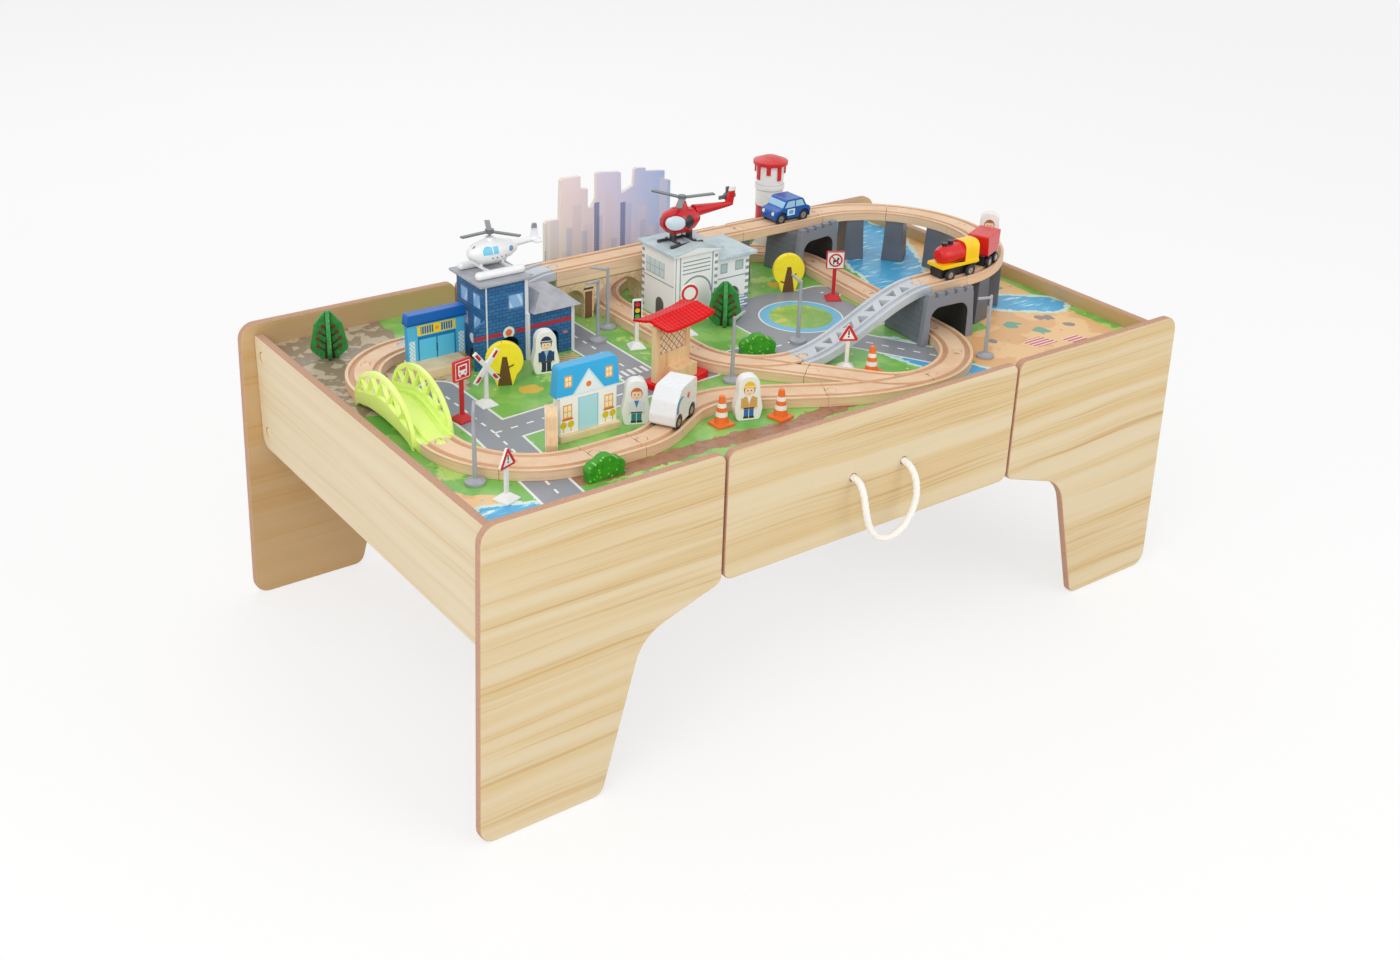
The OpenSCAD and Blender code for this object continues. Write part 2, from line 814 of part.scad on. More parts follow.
module canopy_posts() {
    p = platform_height;
    top = p + shelter_height;
    color([0.9, 0.78, 0.6])
        at(shelter[0], shelter[1], low_z, shelter[2]) {
            box(-33, -26, 2, 9, p, top);
            box(20, 27, 2, 9, p, top);
            box(-26, 20, 4, 7, p, top - 8);
            box(-14, 20, -15, 4, p, p + 16);
            box(-14, 20, 0, 4, p + 15, p + 32);
        }
}

module canopy_roof() {
    z = platform_height + shelter_height;
    color([0.85, 0.1, 0.12])
        at(shelter[0] + 3, shelter[1] + 10, low_z, shelter[2])
            sideways(-42, 84)
                polygon([
                    [-25, z - 5], [-25, z - 1], [0, z + 8], [25, z - 1],
                    [25, z - 5], [18, z - 5], [9, z], [-9, z], [-18, z - 5]
                ]);
}

// Skyline: one flat board with a stepped top, standing against the rear panel
skyline = [
    [112, 0], [-84, 0], [-84, 86], [-80, 89], [-62, 88],
    [-60, 139], [-57, 142], [-30, 141], [-30, 124], [-19, 123],
    [-19, 97], [-12, 97], [-6, 107], [-6, 140], [-3, 142],
    [30, 138], [32, 136], [33, 108], [52, 116], [54, 137],
    [56, 139], [71, 137], [71, 133], [102, 129], [102, 117], [112, 114]
];

module skyline_board() {
    color([0.5, 0.45, 0.62])
        upright(in_y - 6, 6) translate([0, low_z]) polygon(skyline);
}

module water_tower() {
    color([0.92, 0.92, 0.9])
        at(261, in_y - 33, low_z) {
            rotate_extrude()
                polygon([
                    [0, 0], [21, 0], [21, 5], [18, 8], [18, 62], [19, 63], [19, 86], [20.5, 88], [20.5, 94],
                    [19, 96], [19, 122], [24, 122], [24, 127], [8, 133], [0, 133]
                ]);
            for (i = [0 : 7])
                rotate([0, 0, 45 * i])
                    box(18, 21.5, -3, 3, i % 2 == 0 ? 102 : 110, 123);
        }
}

// Street lamps: round foot, slim post and a short arm; each is [x, y, heading of the arm]
lamps = [[-424, -158, 60], [-92, 112, 150], [-124, 84, 200], [-59, -97, 20], [80, -46, 80], [242, -203, 180]];

module street_lamp() {
    cylinder(r1 = 10.5, r2 = 10.5, h = 3);
    translate([0, 0, 3])
        cylinder(r1 = 8, r2 = 2.6, h = 3);
    cylinder(r1 = 2.6, r2 = 1.8, h = lamp_height - 2);
    translate([0, 0, lamp_height - 4])
        rotate([0, 82, 0])
            cylinder(r = 1.7, h = 22);
    translate([0, 0, lamp_height - 2.3])
        sphere(r = 1.9);
}

module street_lamps() {
    color([0.55, 0.58, 0.62])
        for (p = lamps)
            at(p[0], p[1], low_z, p[2]) street_lamp();
}

// Road signs: square foot, post and a flat sign facing the front
module sign_foot(h, side) {
    intersection() {
        upright(-side, 2 * side) foot_slope(side);
        sideways(-side, 2 * side) foot_slope(side);
    }
    box(-2.2, 2.2, -1.6, 1.6, 0, h);
}

module foot_slope(side) {
    polygon([[-side, 0], [side, 0], [side, 1.5], [3.5, 7], [-3.5, 7], [-side, 1.5]]);
}

module sign_board(h) {
    upright(-3, 3) translate([0, h]) children();
}

module triangle_sign() {
    sign_foot(40, 10);
    sign_board(36) polygon(rounded([[-12.5, 0, 2], [12.5, 0, 2], [0, 22, 2]]));
}

module square_sign(h) {
    sign_foot(h - 20, 10);
    sign_board(h - 24) polygon(rounded([[-12, 0, 2], [12, 0, 2], [12, 24, 2], [-12, 24, 2]]));
}

module round_sign() {
    sign_foot(44, 10);
    sign_board(54) circle(r = 12);
}

module cross_sign() {
    sign_foot(52, 10);
    for (t = [-52, 52])
        sign_board(46) rotate(t) translate([-23, -2.75]) square([46, 5.5]);
}

module signal_light() {
    sign_foot(40, 10);
    sign_board(34) polygon(rounded([[-6, 0, 2], [6, 0, 2], [6, 28, 2], [-6, 28, 2]]));
}

module road_signs() {
    color([0.95, 0.95, 0.95])
        translate([0, 0, low_z]) {
            at(-365, -23, 0, 12) square_sign(71);
            at(-325, -4, 0, 0) cross_sign();
            at(-415, -204, 0, 20) triangle_sign();
            at(76, -140, 0, -30) triangle_sign();
            at(210, 41, 0, -30) square_sign(66);
            at(-20, 44, 0, -10) round_sign();
            at(-96, 43, 0, -20) signal_light();
        }
}

cones = [[-138, -182, 0], [-73, -203, 10], [92, -166, 20]];

module traffic_cones() {
    color([0.95, 0.45, 0.12])
        for (p = cones)
            at(p[0], p[1], low_z, p[2]) {
                linear_extrude(3)
                    polygon(rounded([[-11, -11, 2], [11, -11, 2], [11, 11, 2], [-11, 11, 2]]));
                cylinder(r1 = 8.5, r2 = 3, h = cone_height);
            }
}

// Tree boards: two slotted boards set crosswise, each half as deep as the other's slot
trees = [[-413, 205, -23], [35, 43, -35]];

module tree_outline() {
    s = tree_height / 59;
    polygon(s * rounded([
        [-9, 0, 1], [9, 0, 1], [22, 12, 7], [19, 26, 5], [16, 42, 5],
        [0, 62, 7], [-16, 42, 5], [-19, 26, 5], [-22, 12, 7]
    ], 4));
}

module tree_boards() {
    t = 5;
    color([0.2, 0.55, 0.2])
        for (p = trees)
            at(p[0], p[1], low_z, p[2]) {
                difference() {
                    upright(-t / 2, t) tree_outline();
                    box(-t / 2 - running, t / 2 + running, -t, t, tree_height / 2 - running, tree_height + 9);
                }
                difference() {
                    sideways(-t / 2, t) tree_outline();
                    box(-t, t, -t / 2 - running, t / 2 + running, -1, tree_height / 2 + running);
                }
            }
}

module round_trees() {
    color([0.95, 0.83, 0.1])
        for (p = [[-281, 33, -25], [177, 94, -25]])
            at(p[0], p[1], low_z, p[2])
                upright(-4, 8)
                    polygon(concat([[-9, 0], [9, 0]], arc(0, 30, 21, 22, -50, 230, 32)));
}

module bushes() {
    color([0.2, 0.55, 0.15])
        for (p = [[-310, -216, 0], [14, -50, -20]])
            at(p[0], p[1], low_z, p[2])
                upright(-6, 12)
                    polygon(concat([[-22, 0], [22, 0]], arc(12, 11, 10, 9, -30, 80, 8),
                        arc(0, 17, 11, 9, 30, 150, 10), arc(-12, 11, 10, 9, 100, 210, 8)));
}

// Peg figures: thick rounded boards with a printed person
module figure() {
    upright(-6.5, 13)
        polygon(rounded([
            [-13, 0, 4], [13, 0, 4], [16, 14, 8], [12.5, 30, 12], [11.5, figure_height, 10.5],
            [-11.5, figure_height, 10.5], [-12.5, 30, 12], [-16, 14, 8]
        ]));
}

module peg_figures() {
    color([0.96, 0.96, 0.95]) {
        at(-225, 39, low_z, -15) figure();
        at(-213, -128, low_z, -25) figure();
        at(-105, -184, low_z, -20) figure();
        at(-325, -139, low_z, 60) figure();
        at(374, -66, high_top, -47) figure();
    }
}

// Rolling stock: each vehicle faces +X on its own tracks, wheels drop into the grooves
module wheelset(x, r, z) {
    translate([x, 0, z])
        rotate([90, 0, 0]) {
            cylinder(r = axle_radius, h = 2 * wheel_y, center = true);
            for (s = [-1, 1])
                translate([0, 0, s * wheel_y])
                    cylinder(r = r, h = wheel_thick, center = true);
        }
}

module axle_bore(x, z) {
    translate([x, 0, z])
        rotate([90, 0, 0])
            cylinder(r = axle_radius + running, h = 60, center = true);
}

module wheel_well(x, r, z) {
    for (s = [-1, 1])
        translate([x, s * (wheel_y + 4), z])
            rotate([90, 0, 0])
                cylinder(r = r + 1.2, h = 14, center = true);
}

module on_loco() { at(275, ramp_y, high_top, 180) children(); }
module on_wagon() { at(338.4, -92, high_top, 204) children(); }
module on_car() { at(232, upper_y, high_top, 180) children(); }
module on_ambulance() { at(-187.8, -161.6, low_top, 211) children(); }

loco_base = 17;
wagon_base = 11;
car_base = 19;
ambulance_base = 17;

// Magnet that couples the loco and the wagon
coupling_z = 9.5;

module coupling() {
    rotate([0, 90, 0]) cylinder(r = 4, h = 6);
}

module loco_body() {
    color([0.85, 0.12, 0.12])
        on_loco()
            difference() {
                union() {
                    box(-29, 29, -9.5, 9.5, 1, 14);
                    box(-31, 31, -14, 14, 13.5, 18);
                    translate([0, 0, 27.5])
                        turned_x([[0, -9], [12, -9], [12, 15], [10.8, 23], [7.5, 28], [0, 29.5]]);
                    sideways(-31, 23)
                        polygon(rounded([[-13, 17.5, 0], [13, 17.5, 0], [13, 42, 9], [-13, 42, 9]]));
                    translate([18, 0, 36]) cylinder(r1 = 3, r2 = 3.8, h = 7);
                    translate([8, 0, 37]) cylinder(r1 = 3, r2 = 3.8, h = 7.5);
                    translate([-34, 0, coupling_z]) coupling();
                }
                for (x = [-loco_base, loco_base])
                    axle_bore(x, train_axle_z);
            }
}

module wagon_body() {
    color([0.85, 0.12, 0.12])
        on_wagon()
            difference() {
                union() {
                    box(-19, 19, -9.5, 9.5, 1, 14);
                    upright(-14, 28)
                        polygon(rounded([[-18, 13.5, 1], [18, 13.5, 1], [22, 40, 2], [-22, 40, 2]], 3));
                    box(18, 25, -2, 2, 7, 12);
                    translate([23.5, 0, coupling_z]) coupling();
                }
                for (x = [-wagon_base, wagon_base])
                    axle_bore(x, train_axle_z);
            }
}

module car_body() {
    color([0.1, 0.3, 0.75])
        on_car()
            difference() {
                upright(-16, 32)
                    polygon(rounded([
                        [-29, 3, 3], [30, 3, 3], [31, 16, 5], [19, 19, 4],
                        [12, 31, 6], [-16, 31, 6], [-23, 19, 4], [-30, 18, 5]
                    ]));
                for (x = [-car_base, car_base]) {
                    axle_bore(x, road_axle_z);
                    wheel_well(x, road_wheel_radius, road_axle_z);
                }
            }
}

module ambulance_body() {
    color([0.95, 0.95, 0.95])
        on_ambulance()
            difference() {
                upright(-15, 30)
                    polygon(rounded([
                        [-29, 3, 3], [29, 3, 4], [29, 15, 8], [23, 30, 12], [12, 42, 7], [-29, 42, 5]
                    ]));
                for (x = [-ambulance_base, ambulance_base]) {
                    axle_bore(x, road_axle_z);
                    wheel_well(x, road_wheel_radius, road_axle_z);
                }
            }
}

module wheels(x, r, z) {
    color([0.15, 0.15, 0.16]) wheelset(x, r, z);
}

module loco_front_wheels() { on_loco() wheels(loco_base, train_wheel_radius, train_axle_z); }
module loco_rear_wheels() { on_loco() wheels(-loco_base, train_wheel_radius, train_axle_z); }
module wagon_front_wheels() { on_wagon() wheels(wagon_base, train_wheel_radius, train_axle_z); }
module wagon_rear_wheels() { on_wagon() wheels(-wagon_base, train_wheel_radius, train_axle_z); }
module car_front_wheels() { on_car() wheels(car_base, road_wheel_radius, road_axle_z); }
module car_rear_wheels() { on_car() wheels(-car_base, road_wheel_radius, road_axle_z); }
module ambulance_front_wheels() { on_ambulance() wheels(ambulance_base, road_wheel_radius, road_axle_z); }
module ambulance_rear_wheels() { on_ambulance() wheels(-ambulance_base, road_wheel_radius, road_axle_z); }

// Helicopters: turned bodies facing +X, each rotor turns on a mast
mast_radius = 1.5;

module turned_x(points) {
    rotate([0, 90, 0])
        rotate_extrude() polygon(points);
}

module capsule_x(x0, x1, r) {
    translate([x0, 0, 0]) rotate([0, 90, 0]) cylinder(r = r, h = x1 - x0);
    for (x = [x0, x1])
        translate([x, 0, 0]) sphere(r = r);
}

module rotor(blades, radius, width) {
    difference() {
        union() {
            cylinder(r = 5, h = 5);
            for (i = [0 : blades - 1])
                rotate([0, 0, 360 * i / blades])
                    translate([0, -width / 2, 1.2])
                        cube([radius, width, 1.8]);
        }
        translate([0, 0, -1]) cylinder(r = mast_radius + running, h = 4.5);
    }
}

module on_white_heli() { at(-250, 116, low_z + tower_height + 3, 180) children(); }
module on_red_heli() { at(14, 110, low_z + station_height + 4, 180) children(); }

white_mast = 46;
red_mast = 56;

module white_heli_body() {
    color([0.95, 0.95, 0.95])
        on_white_heli()
            union() {
                pair_y() translate([0, 21, 5]) capsule_x(-28, 26, 5);
                for (x = [-14, 14]) {
                    box(x - 1.5, x + 1.5, -21, 21, 7, 10);
                    box(x - 1.5, x + 1.5, -5, 5, 9, 16);
                }
                translate([0, 0, 25])
                    turned_x([
                        [0, -34], [5, -33], [10, -24], [14, -8], [14.5, 6], [12, 18], [6, 27], [0, 29]
                    ]);
                translate([-62, 0, 29]) rotate([0, 90, 0]) cylinder(r1 = 2.2, r2 = 5, h = 36);
                upright(-1.5, 3) polygon([[-64, 28], [-52, 28], [-56, 48], [-61, 48]]);
                box(-64, -54, -11, 11, 27, 29.5);
                translate([0, 0, 34]) cylinder(r1 = 10, r2 = 5, h = 8);
                translate([0, 0, 40]) cylinder(r = mast_radius, h = white_mast - 37);
            }
}

module white_heli_rotor() {
    color([0.6, 0.63, 0.66])
        on_white_heli() translate([0, 0, white_mast]) rotate([0, 0, 5]) rotor(3, 38, 6);
}

module red_heli_body() {
    color([0.85, 0.1, 0.12])
        on_red_heli()
            union() {
                pair_y() translate([0, 14, 2]) capsule_x(-22, 24, 2);
                for (x = [-12, 12]) {
                    box(x - 2, x + 2, -14, 14, 3, 6);
                    box(x - 2, x + 2, -5, 5, 3, 20);
                }
                translate([0, 0, 30])
                    turned_x([[0, -26], [7, -24], [14, -14], [17, 0], [17, 10], [13, 22], [7, 28], [0, 30]]);
                translate([-74, 0, 38]) rotate([0, 90, 0]) cylinder(r1 = 3, r2 = 8, h = 56);
                upright(-2, 4) polygon([[-78, 36], [-66, 36], [-74, 60], [-82, 60]]);
                translate([0, 0, 42]) cylinder(r1 = 9, r2 = 5, h = 12);
                translate([0, 0, 50]) cylinder(r = mast_radius, h = red_mast - 47);
                translate([-74, 0, 46]) rotate([90, 0, 0]) cylinder(r = mast_radius, h = 6.5);
            }
}

module red_heli_rotor() {
    color([0.6, 0.63, 0.66])
        on_red_heli() translate([0, 0, red_mast]) rotate([0, 0, 50]) rotor(3, 44, 7);
}

module red_heli_tail_rotor() {
    color([0.6, 0.63, 0.66])
        on_red_heli() translate([-74, -3.5, 46]) rotate([90, 0, 0]) rotor(4, 13, 5);
}

front_left_panel();
front_right_panel();
rear_left_panel();
rear_right_panel();
rear_middle_panel();
left_end_rail();
right_end_rail();
play_board();
board_bearers();
drawer_guides();
cam_fittings();
drawer_front();
drawer_sides();
drawer_back();
drawer_bottom();
rope_handle();
curved_tracks();
straight_tracks();
ramp_switch();
front_switch();
lime_bridge();
grey_ramps();
track_tunnels();
track_piers();
stone_viaduct();
police_walls();
police_roofs();
station_walls();
station_roofs();
garage_block();
house_block();
canopy_roof();
canopy_posts();
canopy_platform();
skyline_board();
water_tower();
street_lamps();
road_signs();
traffic_cones();
tree_boards();
round_trees();
bushes();
peg_figures();
loco_body();
loco_front_wheels();
loco_rear_wheels();
wagon_body();
wagon_front_wheels();
wagon_rear_wheels();
car_body();
car_front_wheels();
car_rear_wheels();
ambulance_body();
ambulance_front_wheels();
ambulance_rear_wheels();
white_heli_body();
white_heli_rotor();
red_heli_body();
red_heli_rotor();
red_heli_tail_rotor();
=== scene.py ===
from functools import reduce
from math import cos, pi, radians, sin
from operator import or_

import bmesh
import bpy
from mathutils import Matrix, Vector


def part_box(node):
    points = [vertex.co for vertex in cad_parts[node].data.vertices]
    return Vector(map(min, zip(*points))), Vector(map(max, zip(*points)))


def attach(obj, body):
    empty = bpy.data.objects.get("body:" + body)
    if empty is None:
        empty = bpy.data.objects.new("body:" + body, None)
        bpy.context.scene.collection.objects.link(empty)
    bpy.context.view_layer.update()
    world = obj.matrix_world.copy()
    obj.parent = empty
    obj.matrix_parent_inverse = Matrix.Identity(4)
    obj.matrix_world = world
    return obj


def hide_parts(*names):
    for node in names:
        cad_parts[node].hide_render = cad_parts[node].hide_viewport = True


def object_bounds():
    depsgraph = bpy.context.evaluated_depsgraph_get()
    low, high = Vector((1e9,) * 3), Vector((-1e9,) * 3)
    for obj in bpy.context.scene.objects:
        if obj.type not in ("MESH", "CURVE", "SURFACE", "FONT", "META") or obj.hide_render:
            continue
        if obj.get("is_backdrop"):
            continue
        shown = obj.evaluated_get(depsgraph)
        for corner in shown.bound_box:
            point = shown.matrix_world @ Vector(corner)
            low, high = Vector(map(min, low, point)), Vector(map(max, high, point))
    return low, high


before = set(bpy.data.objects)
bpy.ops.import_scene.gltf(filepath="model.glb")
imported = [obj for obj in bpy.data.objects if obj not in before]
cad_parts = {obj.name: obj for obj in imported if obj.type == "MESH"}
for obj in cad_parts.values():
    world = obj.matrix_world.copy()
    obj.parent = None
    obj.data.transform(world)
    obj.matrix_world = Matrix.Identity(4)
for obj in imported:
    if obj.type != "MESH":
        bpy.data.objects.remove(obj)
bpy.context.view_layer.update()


# Leg panels and end rails: 10 mm fibreboard faced with pale oak laminate. The inner sides are
# painted darker and browner as painted shade, and the outer faces of the end rails paler as painted
# light. Each leg is cut in one board with its panel. The cut edges are rounded over and sealed in a
# pinkish brown, and cams in the rails pull the boards together.
MM = 0.001
ROUND_OVER = 1.8
CAM_ACROSS, CAM_HEIGHTS, CAM_FROM, CAM_TO = 257.5, (322, 225), 455, 475
CAM_REACH, CAM_INWARD = 8, 12.5


class Wire:
    """A socket in a material's tree: sums on wires add their nodes. Places are in millimetres."""

    def __init__(self, tree, socket=None):
        self.tree = tree
        self.socket = socket

    def node(self, kind, sockets, out=0, stops=(), **settings):
        made = self.tree.nodes.new("ShaderNode" + kind)
        for name, value in settings.items():
            setattr(made, name, value)
        for i, (position, colour) in enumerate(stops):
            elements = made.color_ramp.elements
            stop = elements[i] if i < 2 else elements.new(position)
            stop.position, stop.color = position, colour
        for key, value in sockets.items():
            if isinstance(value, Wire):
                self.tree.links.new(value.socket, made.inputs[key])
            else:
                made.inputs[key].default_value = value
        return Wire(self.tree, made.outputs[out])

    def sum(self, operation, first, second=0.0, third=0.0):
        if isinstance(second, tuple):
            return self.node("VectorMath", {0: first, 1: second}, operation=operation)
        return self.node("Math", {0: first, 1: second, 2: third}, operation=operation)

    def by(operation):
        """Makes the operator that adds the node for one kind of sum."""
        return lambda self, other=0.0: self.sum(operation, self, other)

    __add__ = __radd__ = by("ADD")
    __mul__ = __rmul__ = __and__ = by("MULTIPLY")
    __sub__, __truediv__, __mod__ = by("SUBTRACT"), by("DIVIDE"), by("FLOORED_MODULO")
    __lt__, __gt__, __or__, __abs__ = by("LESS_THAN"), by("GREATER_THAN"), by("MAXIMUM"), by("ABSOLUTE")

    def __rsub__(self, other):
        return self.sum("SUBTRACT", other, self)

    def __invert__(self):
        return 1 - self

    def near(self, middle, reach):
        return self.sum("COMPARE", self, middle, reach)

    def split(self):
        return [self.node("SeparateXYZ", {0: self}, out=i) for i in range(3)]

    def place(self, x=0, y=0, z=0, turn=0):
        at = self.node("TexCoord", {}, out="Object")
        sockets = {"Vector": at, "Location": (x * MM, y * MM, z * MM), "Rotation": (0, 0, radians(turn)),
                   "Scale": (MM, MM, MM)}
        return at.node("Mapping", sockets, vector_type="TEXTURE")

    def noise(self, scale, detail=3.0, roughness=0.55):
        sockets = {"Vector": self, "Scale": scale, "Detail": detail, "Roughness": roughness}
        return self.node("TexNoise", sockets)

    def cells(self, scale, out="Distance"):
        return self.node("TexVoronoi", {"Vector": self, "Scale": scale}, out=out)

    def ramp(self, *stops):
        return self.node("ValToRGB", {0: self}, stops=stops)

    def step(self, low, high, top=1.0, bottom=0.0):
        """A soft edge: bottom below low, top above high."""
        return self.ramp((low, (bottom, bottom, bottom, 1)), (high, (top, top, top, 1)))

    def disc(self, x, y, radius):
        return self.node("VectorMath", {0: self, 1: (x, y, 0)}, out=1, operation="DISTANCE") < radius

    def discs(self, radius, *spots):
        return any_of(self.disc(x, y, radius) for x, y in spots)


def any_of(masks):
    """One mask that shows wherever any of several does."""
    return reduce(or_, masks)


def sheet(across, up, depth=0.0):
    """A plane to draw on, from the measures that run across it and up it."""
    return across.node("CombineXYZ", {0: across, 1: up, 2: depth})


def ink(red, green, blue):
    """A colour as seen on a screen, 0 to 255, in the linear numbers that shaders use."""
    return tuple(c / 3294.6 if c < 10.3 else ((c / 255 + 0.055) / 1.055) ** 2.4
                 for c in (red, green, blue)) + (1.0,)


def cover(base, *layers):
    """Each layer is a mask and the colour that it lays over what is below."""
    for mask, colour in layers:
        base = mask.node("Mix", {0: mask, 6: base, 7: colour}, out=2, data_type="RGBA")
    return base


def finish(name, paint, spot=(), **constants):
    """A material: paint gets places in the frame of a spot and returns what varies over the surface."""
    made = bpy.data.materials.new(name)
    made.use_nodes = True
    tree = made.node_tree
    shader = tree.nodes["Principled BSDF"]
    for key, value in constants.items():
        shader.inputs[key.replace("_", " ").title().replace("Ior", "IOR")].default_value = value
    for key, value in paint(Wire(tree).place(*spot)).items():
        if key == "Height":
            height, depth = value
            value = height.node("Bump", {"Height": height, "Distance": depth, "Strength": 0.8})
            key = "Normal"
        tree.links.new(value.socket, shader.inputs[key])
    return made


def placed(name, mesh, material):
    """Turns a bmesh into an object in the scene."""
    data = bpy.data.meshes.new(name)
    mesh.to_mesh(data)
    mesh.free()
    data.materials.append(material)
    piece = bpy.data.objects.new(name, data)
    bpy.context.scene.collection.objects.link(piece)
    return piece


def keep(name, mesh, material, node, body="table"):
    """A finished piece that stands for a node and rides on a body."""
    piece = placed(name, mesh, material)
    piece.data.shade_smooth()
    piece.data.set_sharp_from_angle(angle=radians(42))
    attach(piece, body)
    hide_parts(node)
    return piece


def merged(node):
    """A copy of a node's mesh with its loose triangles joined into faces."""
    mesh = bmesh.new()
    mesh.from_mesh(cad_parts[node].data)
    bmesh.ops.remove_doubles(mesh, verts=mesh.verts, dist=1e-6)
    bmesh.ops.dissolve_limit(mesh, angle_limit=radians(0.8), verts=mesh.verts, edges=mesh.edges)
    return mesh


def eased(mesh, width, segments=2, spared=None):
    """Rounds every sharp edge of a merged mesh that isn't spared."""
    edges = [e for e in mesh.edges if len(e.link_faces) == 2 and e.calc_face_angle(0) > radians(38)
             and not (spared and spared(e))]
    bmesh.ops.bevel(mesh, geom=edges, offset=width * MM, offset_type="OFFSET", segments=segments,
                    profile=0.5, affect="EDGES", material=-1, clamp_overlap=False)
    return mesh


def evened(piece):
    """Shades the wide faces of a piece flat up to its rounded edges."""
    piece.modifiers.new("normals", "WEIGHTED_NORMAL").keep_sharp = True


def dress(node, material, width, body="table", segments=2, spared=None):
    """A copy of a node with its edges eased, which then stands for the node."""
    mesh = eased(merged(node), width, segments, spared)
    evened(keep(node + "_finished", mesh, material, node, body))


def at_cam_bore(edge):
    """Whether an edge of an end rail or a leg panel belongs to a bore for a cam or its pin."""
    x, y, z = (abs(c) / MM for c in (edge.verts[0].co + edge.verts[1].co) / 2)
    return (CAM_FROM < x < CAM_TO and y > CAM_ACROSS - CAM_INWARD
            and any(abs(z - height) < CAM_REACH for height in CAM_HEIGHTS))


def oak_board(node):
    """Laminate on the two wide faces of one board, sealed fibreboard on its edges."""
    low, high = (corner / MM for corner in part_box(node))
    thin = min(range(3), key=lambda i: high[i] - low[i])
    middle, half = (low[thin] + high[thin]) / 2, (high[thin] - low[thin]) / 2
    seed = (low[0] * 0.37 + low[1] * 0.73) % 50

    def paint(p):
        x, y, z = p.split()
        depth, run = (x, y, z)[thin], x + y
        sway = sheet(run * 0.003, z * 0.008, seed).noise(1.0, 2)
        bands = sheet(run * 0.0009, z * 0.03 + sway * 0.7, seed).noise(1.5, 3, 0.5)
        lines = sheet(run * 0.0022, z * 0.34 + sway * 6, seed).noise(1.0, 3, 0.65)
        pores = sheet(run * 0.022, z * 1.5, seed).noise(1.0, 2, 0.7)
        face = cover(ink(217, 199, 163), (bands.step(0.4, 0.66, 0.85), ink(209, 180, 126)),
                     (bands.step(0.46, 0.6, bottom=0.12) * lines.step(0.5, 0.68, 0.75), ink(184, 144, 90)),
                     (pores.step(0.62, 0.82, 0.35), ink(196, 158, 108)))
        inward = depth * (1 if middle > 0 else -1) < abs(middle)
        # Inward faces: a darker, browner tone laid over the laminate as painted shade.
        face = cover(face, (inward * 0.6, ink(194, 148, 86)))
        # End rails: the outward faces are painted paler, as painted light.
        if thin == 0:
            face = cover(face, (~inward * 0.4, ink(240, 226, 196)))
        rim = cover(ink(198, 155, 129), (p.noise(0.5, 4, 0.7).step(0.4, 0.7), ink(178, 134, 108)))
        edge = abs(depth - middle) < half - 0.35
        return {"Base Color": cover(face, (edge, rim)), "Roughness": 0.42 + 0.12 * bands + 0.22 * edge,
                "Height": (lines * 0.5 + pores * 0.5, 0.00012)}
    return finish("oak_" + node, paint)


for node in ("front_left_panel", "front_right_panel", "rear_left_panel", "rear_right_panel",
             "rear_middle_panel", "left_end_rail", "right_end_rail"):
    dress(node, oak_board(node), ROUND_OVER, segments=3, spared=at_cam_bore)


# Cam fittings: zinc discs with bolts, pressed into the ends of the rails, where each one pulls a
# leg panel tight. A pale cap covers the disc, and a dark crescent beside its edge is painted shadow.
CAP_FROM, CAM_RADIUS, CAP_RADIUS, CAP_SHIFT = 473, 6.6, 6.2, 1.5


def capped_zinc(p):
    x, y, z = p.split()
    flat, scuff = sheet(y, z), p.noise(0.9, 5, 0.7)
    cap = abs(x) > CAP_FROM
    # A dark crescent at one side of each cap: painted shadow of the cap's edge.
    crescent_shadows = any_of(flat.disc(across, height, CAM_RADIUS)
                       & ~flat.disc(across - CAP_SHIFT, height, CAP_RADIUS)
                       for across in (-CAM_ACROSS, CAM_ACROSS) for height in CAM_HEIGHTS)
    colour = cover(scuff.ramp((0.3, ink(196, 196, 194)), (0.7, ink(150, 150, 152))),
                   (cap, ink(232, 213, 172)),
                   (cap & crescent_shadows, ink(120, 92, 58)))
    return {"Base Color": colour, "Roughness": 0.3 + 0.3 * scuff, "Metallic": ~cap}


dress("cam_fittings", finish("capped_zinc", capped_zinc), 0.3)


# Board bearers and drawer guides: plain pine strips, screwed to the inside of the boards. The
# play board lies on the bearers, and the drawer runs on the guides.
def pine(p):
    x, y, z = p.split()
    rings = sheet((x + y) * 0.006, z * 0.18, x * 0.02).noise(1.0, 4, 0.6)
    colour = rings.ramp((0.35, ink(224, 194, 146)), (0.7, ink(198, 158, 104)))
    return {"Base Color": colour, "Roughness": 0.55 + 0.2 * rings, "Height": (rings, 0.0002)}


plain_pine = finish("plain_pine", pine)
for node in ("board_bearers", "drawer_guides"):
    dress(node, plain_pine, 0.6)


# Drawer: an oak front like the leg panels, with white-faced board sides and back behind it on a
# thin bottom. It slides out of the front on the guides.
def white_board(p):
    haze, speck = p.noise(0.02, 4), p.noise(0.9, 3, 0.7)
    colour = cover(ink(240, 237, 230), (haze * 0.5, ink(226, 221, 210)),
                   (speck.step(0.66, 0.72, 0.3), ink(205, 198, 184)))
    return {"Base Color": colour, "Roughness": 0.5 + 0.15 * haze, "Height": (speck, 0.0001)}


dress("drawer_front", oak_board("drawer_front"), ROUND_OVER, "drawer", 3)
faced_board = finish("faced_board", white_board)
for node in ("drawer_sides", "drawer_back", "drawer_bottom"):
    dress(node, faced_board, 0.6, "drawer")


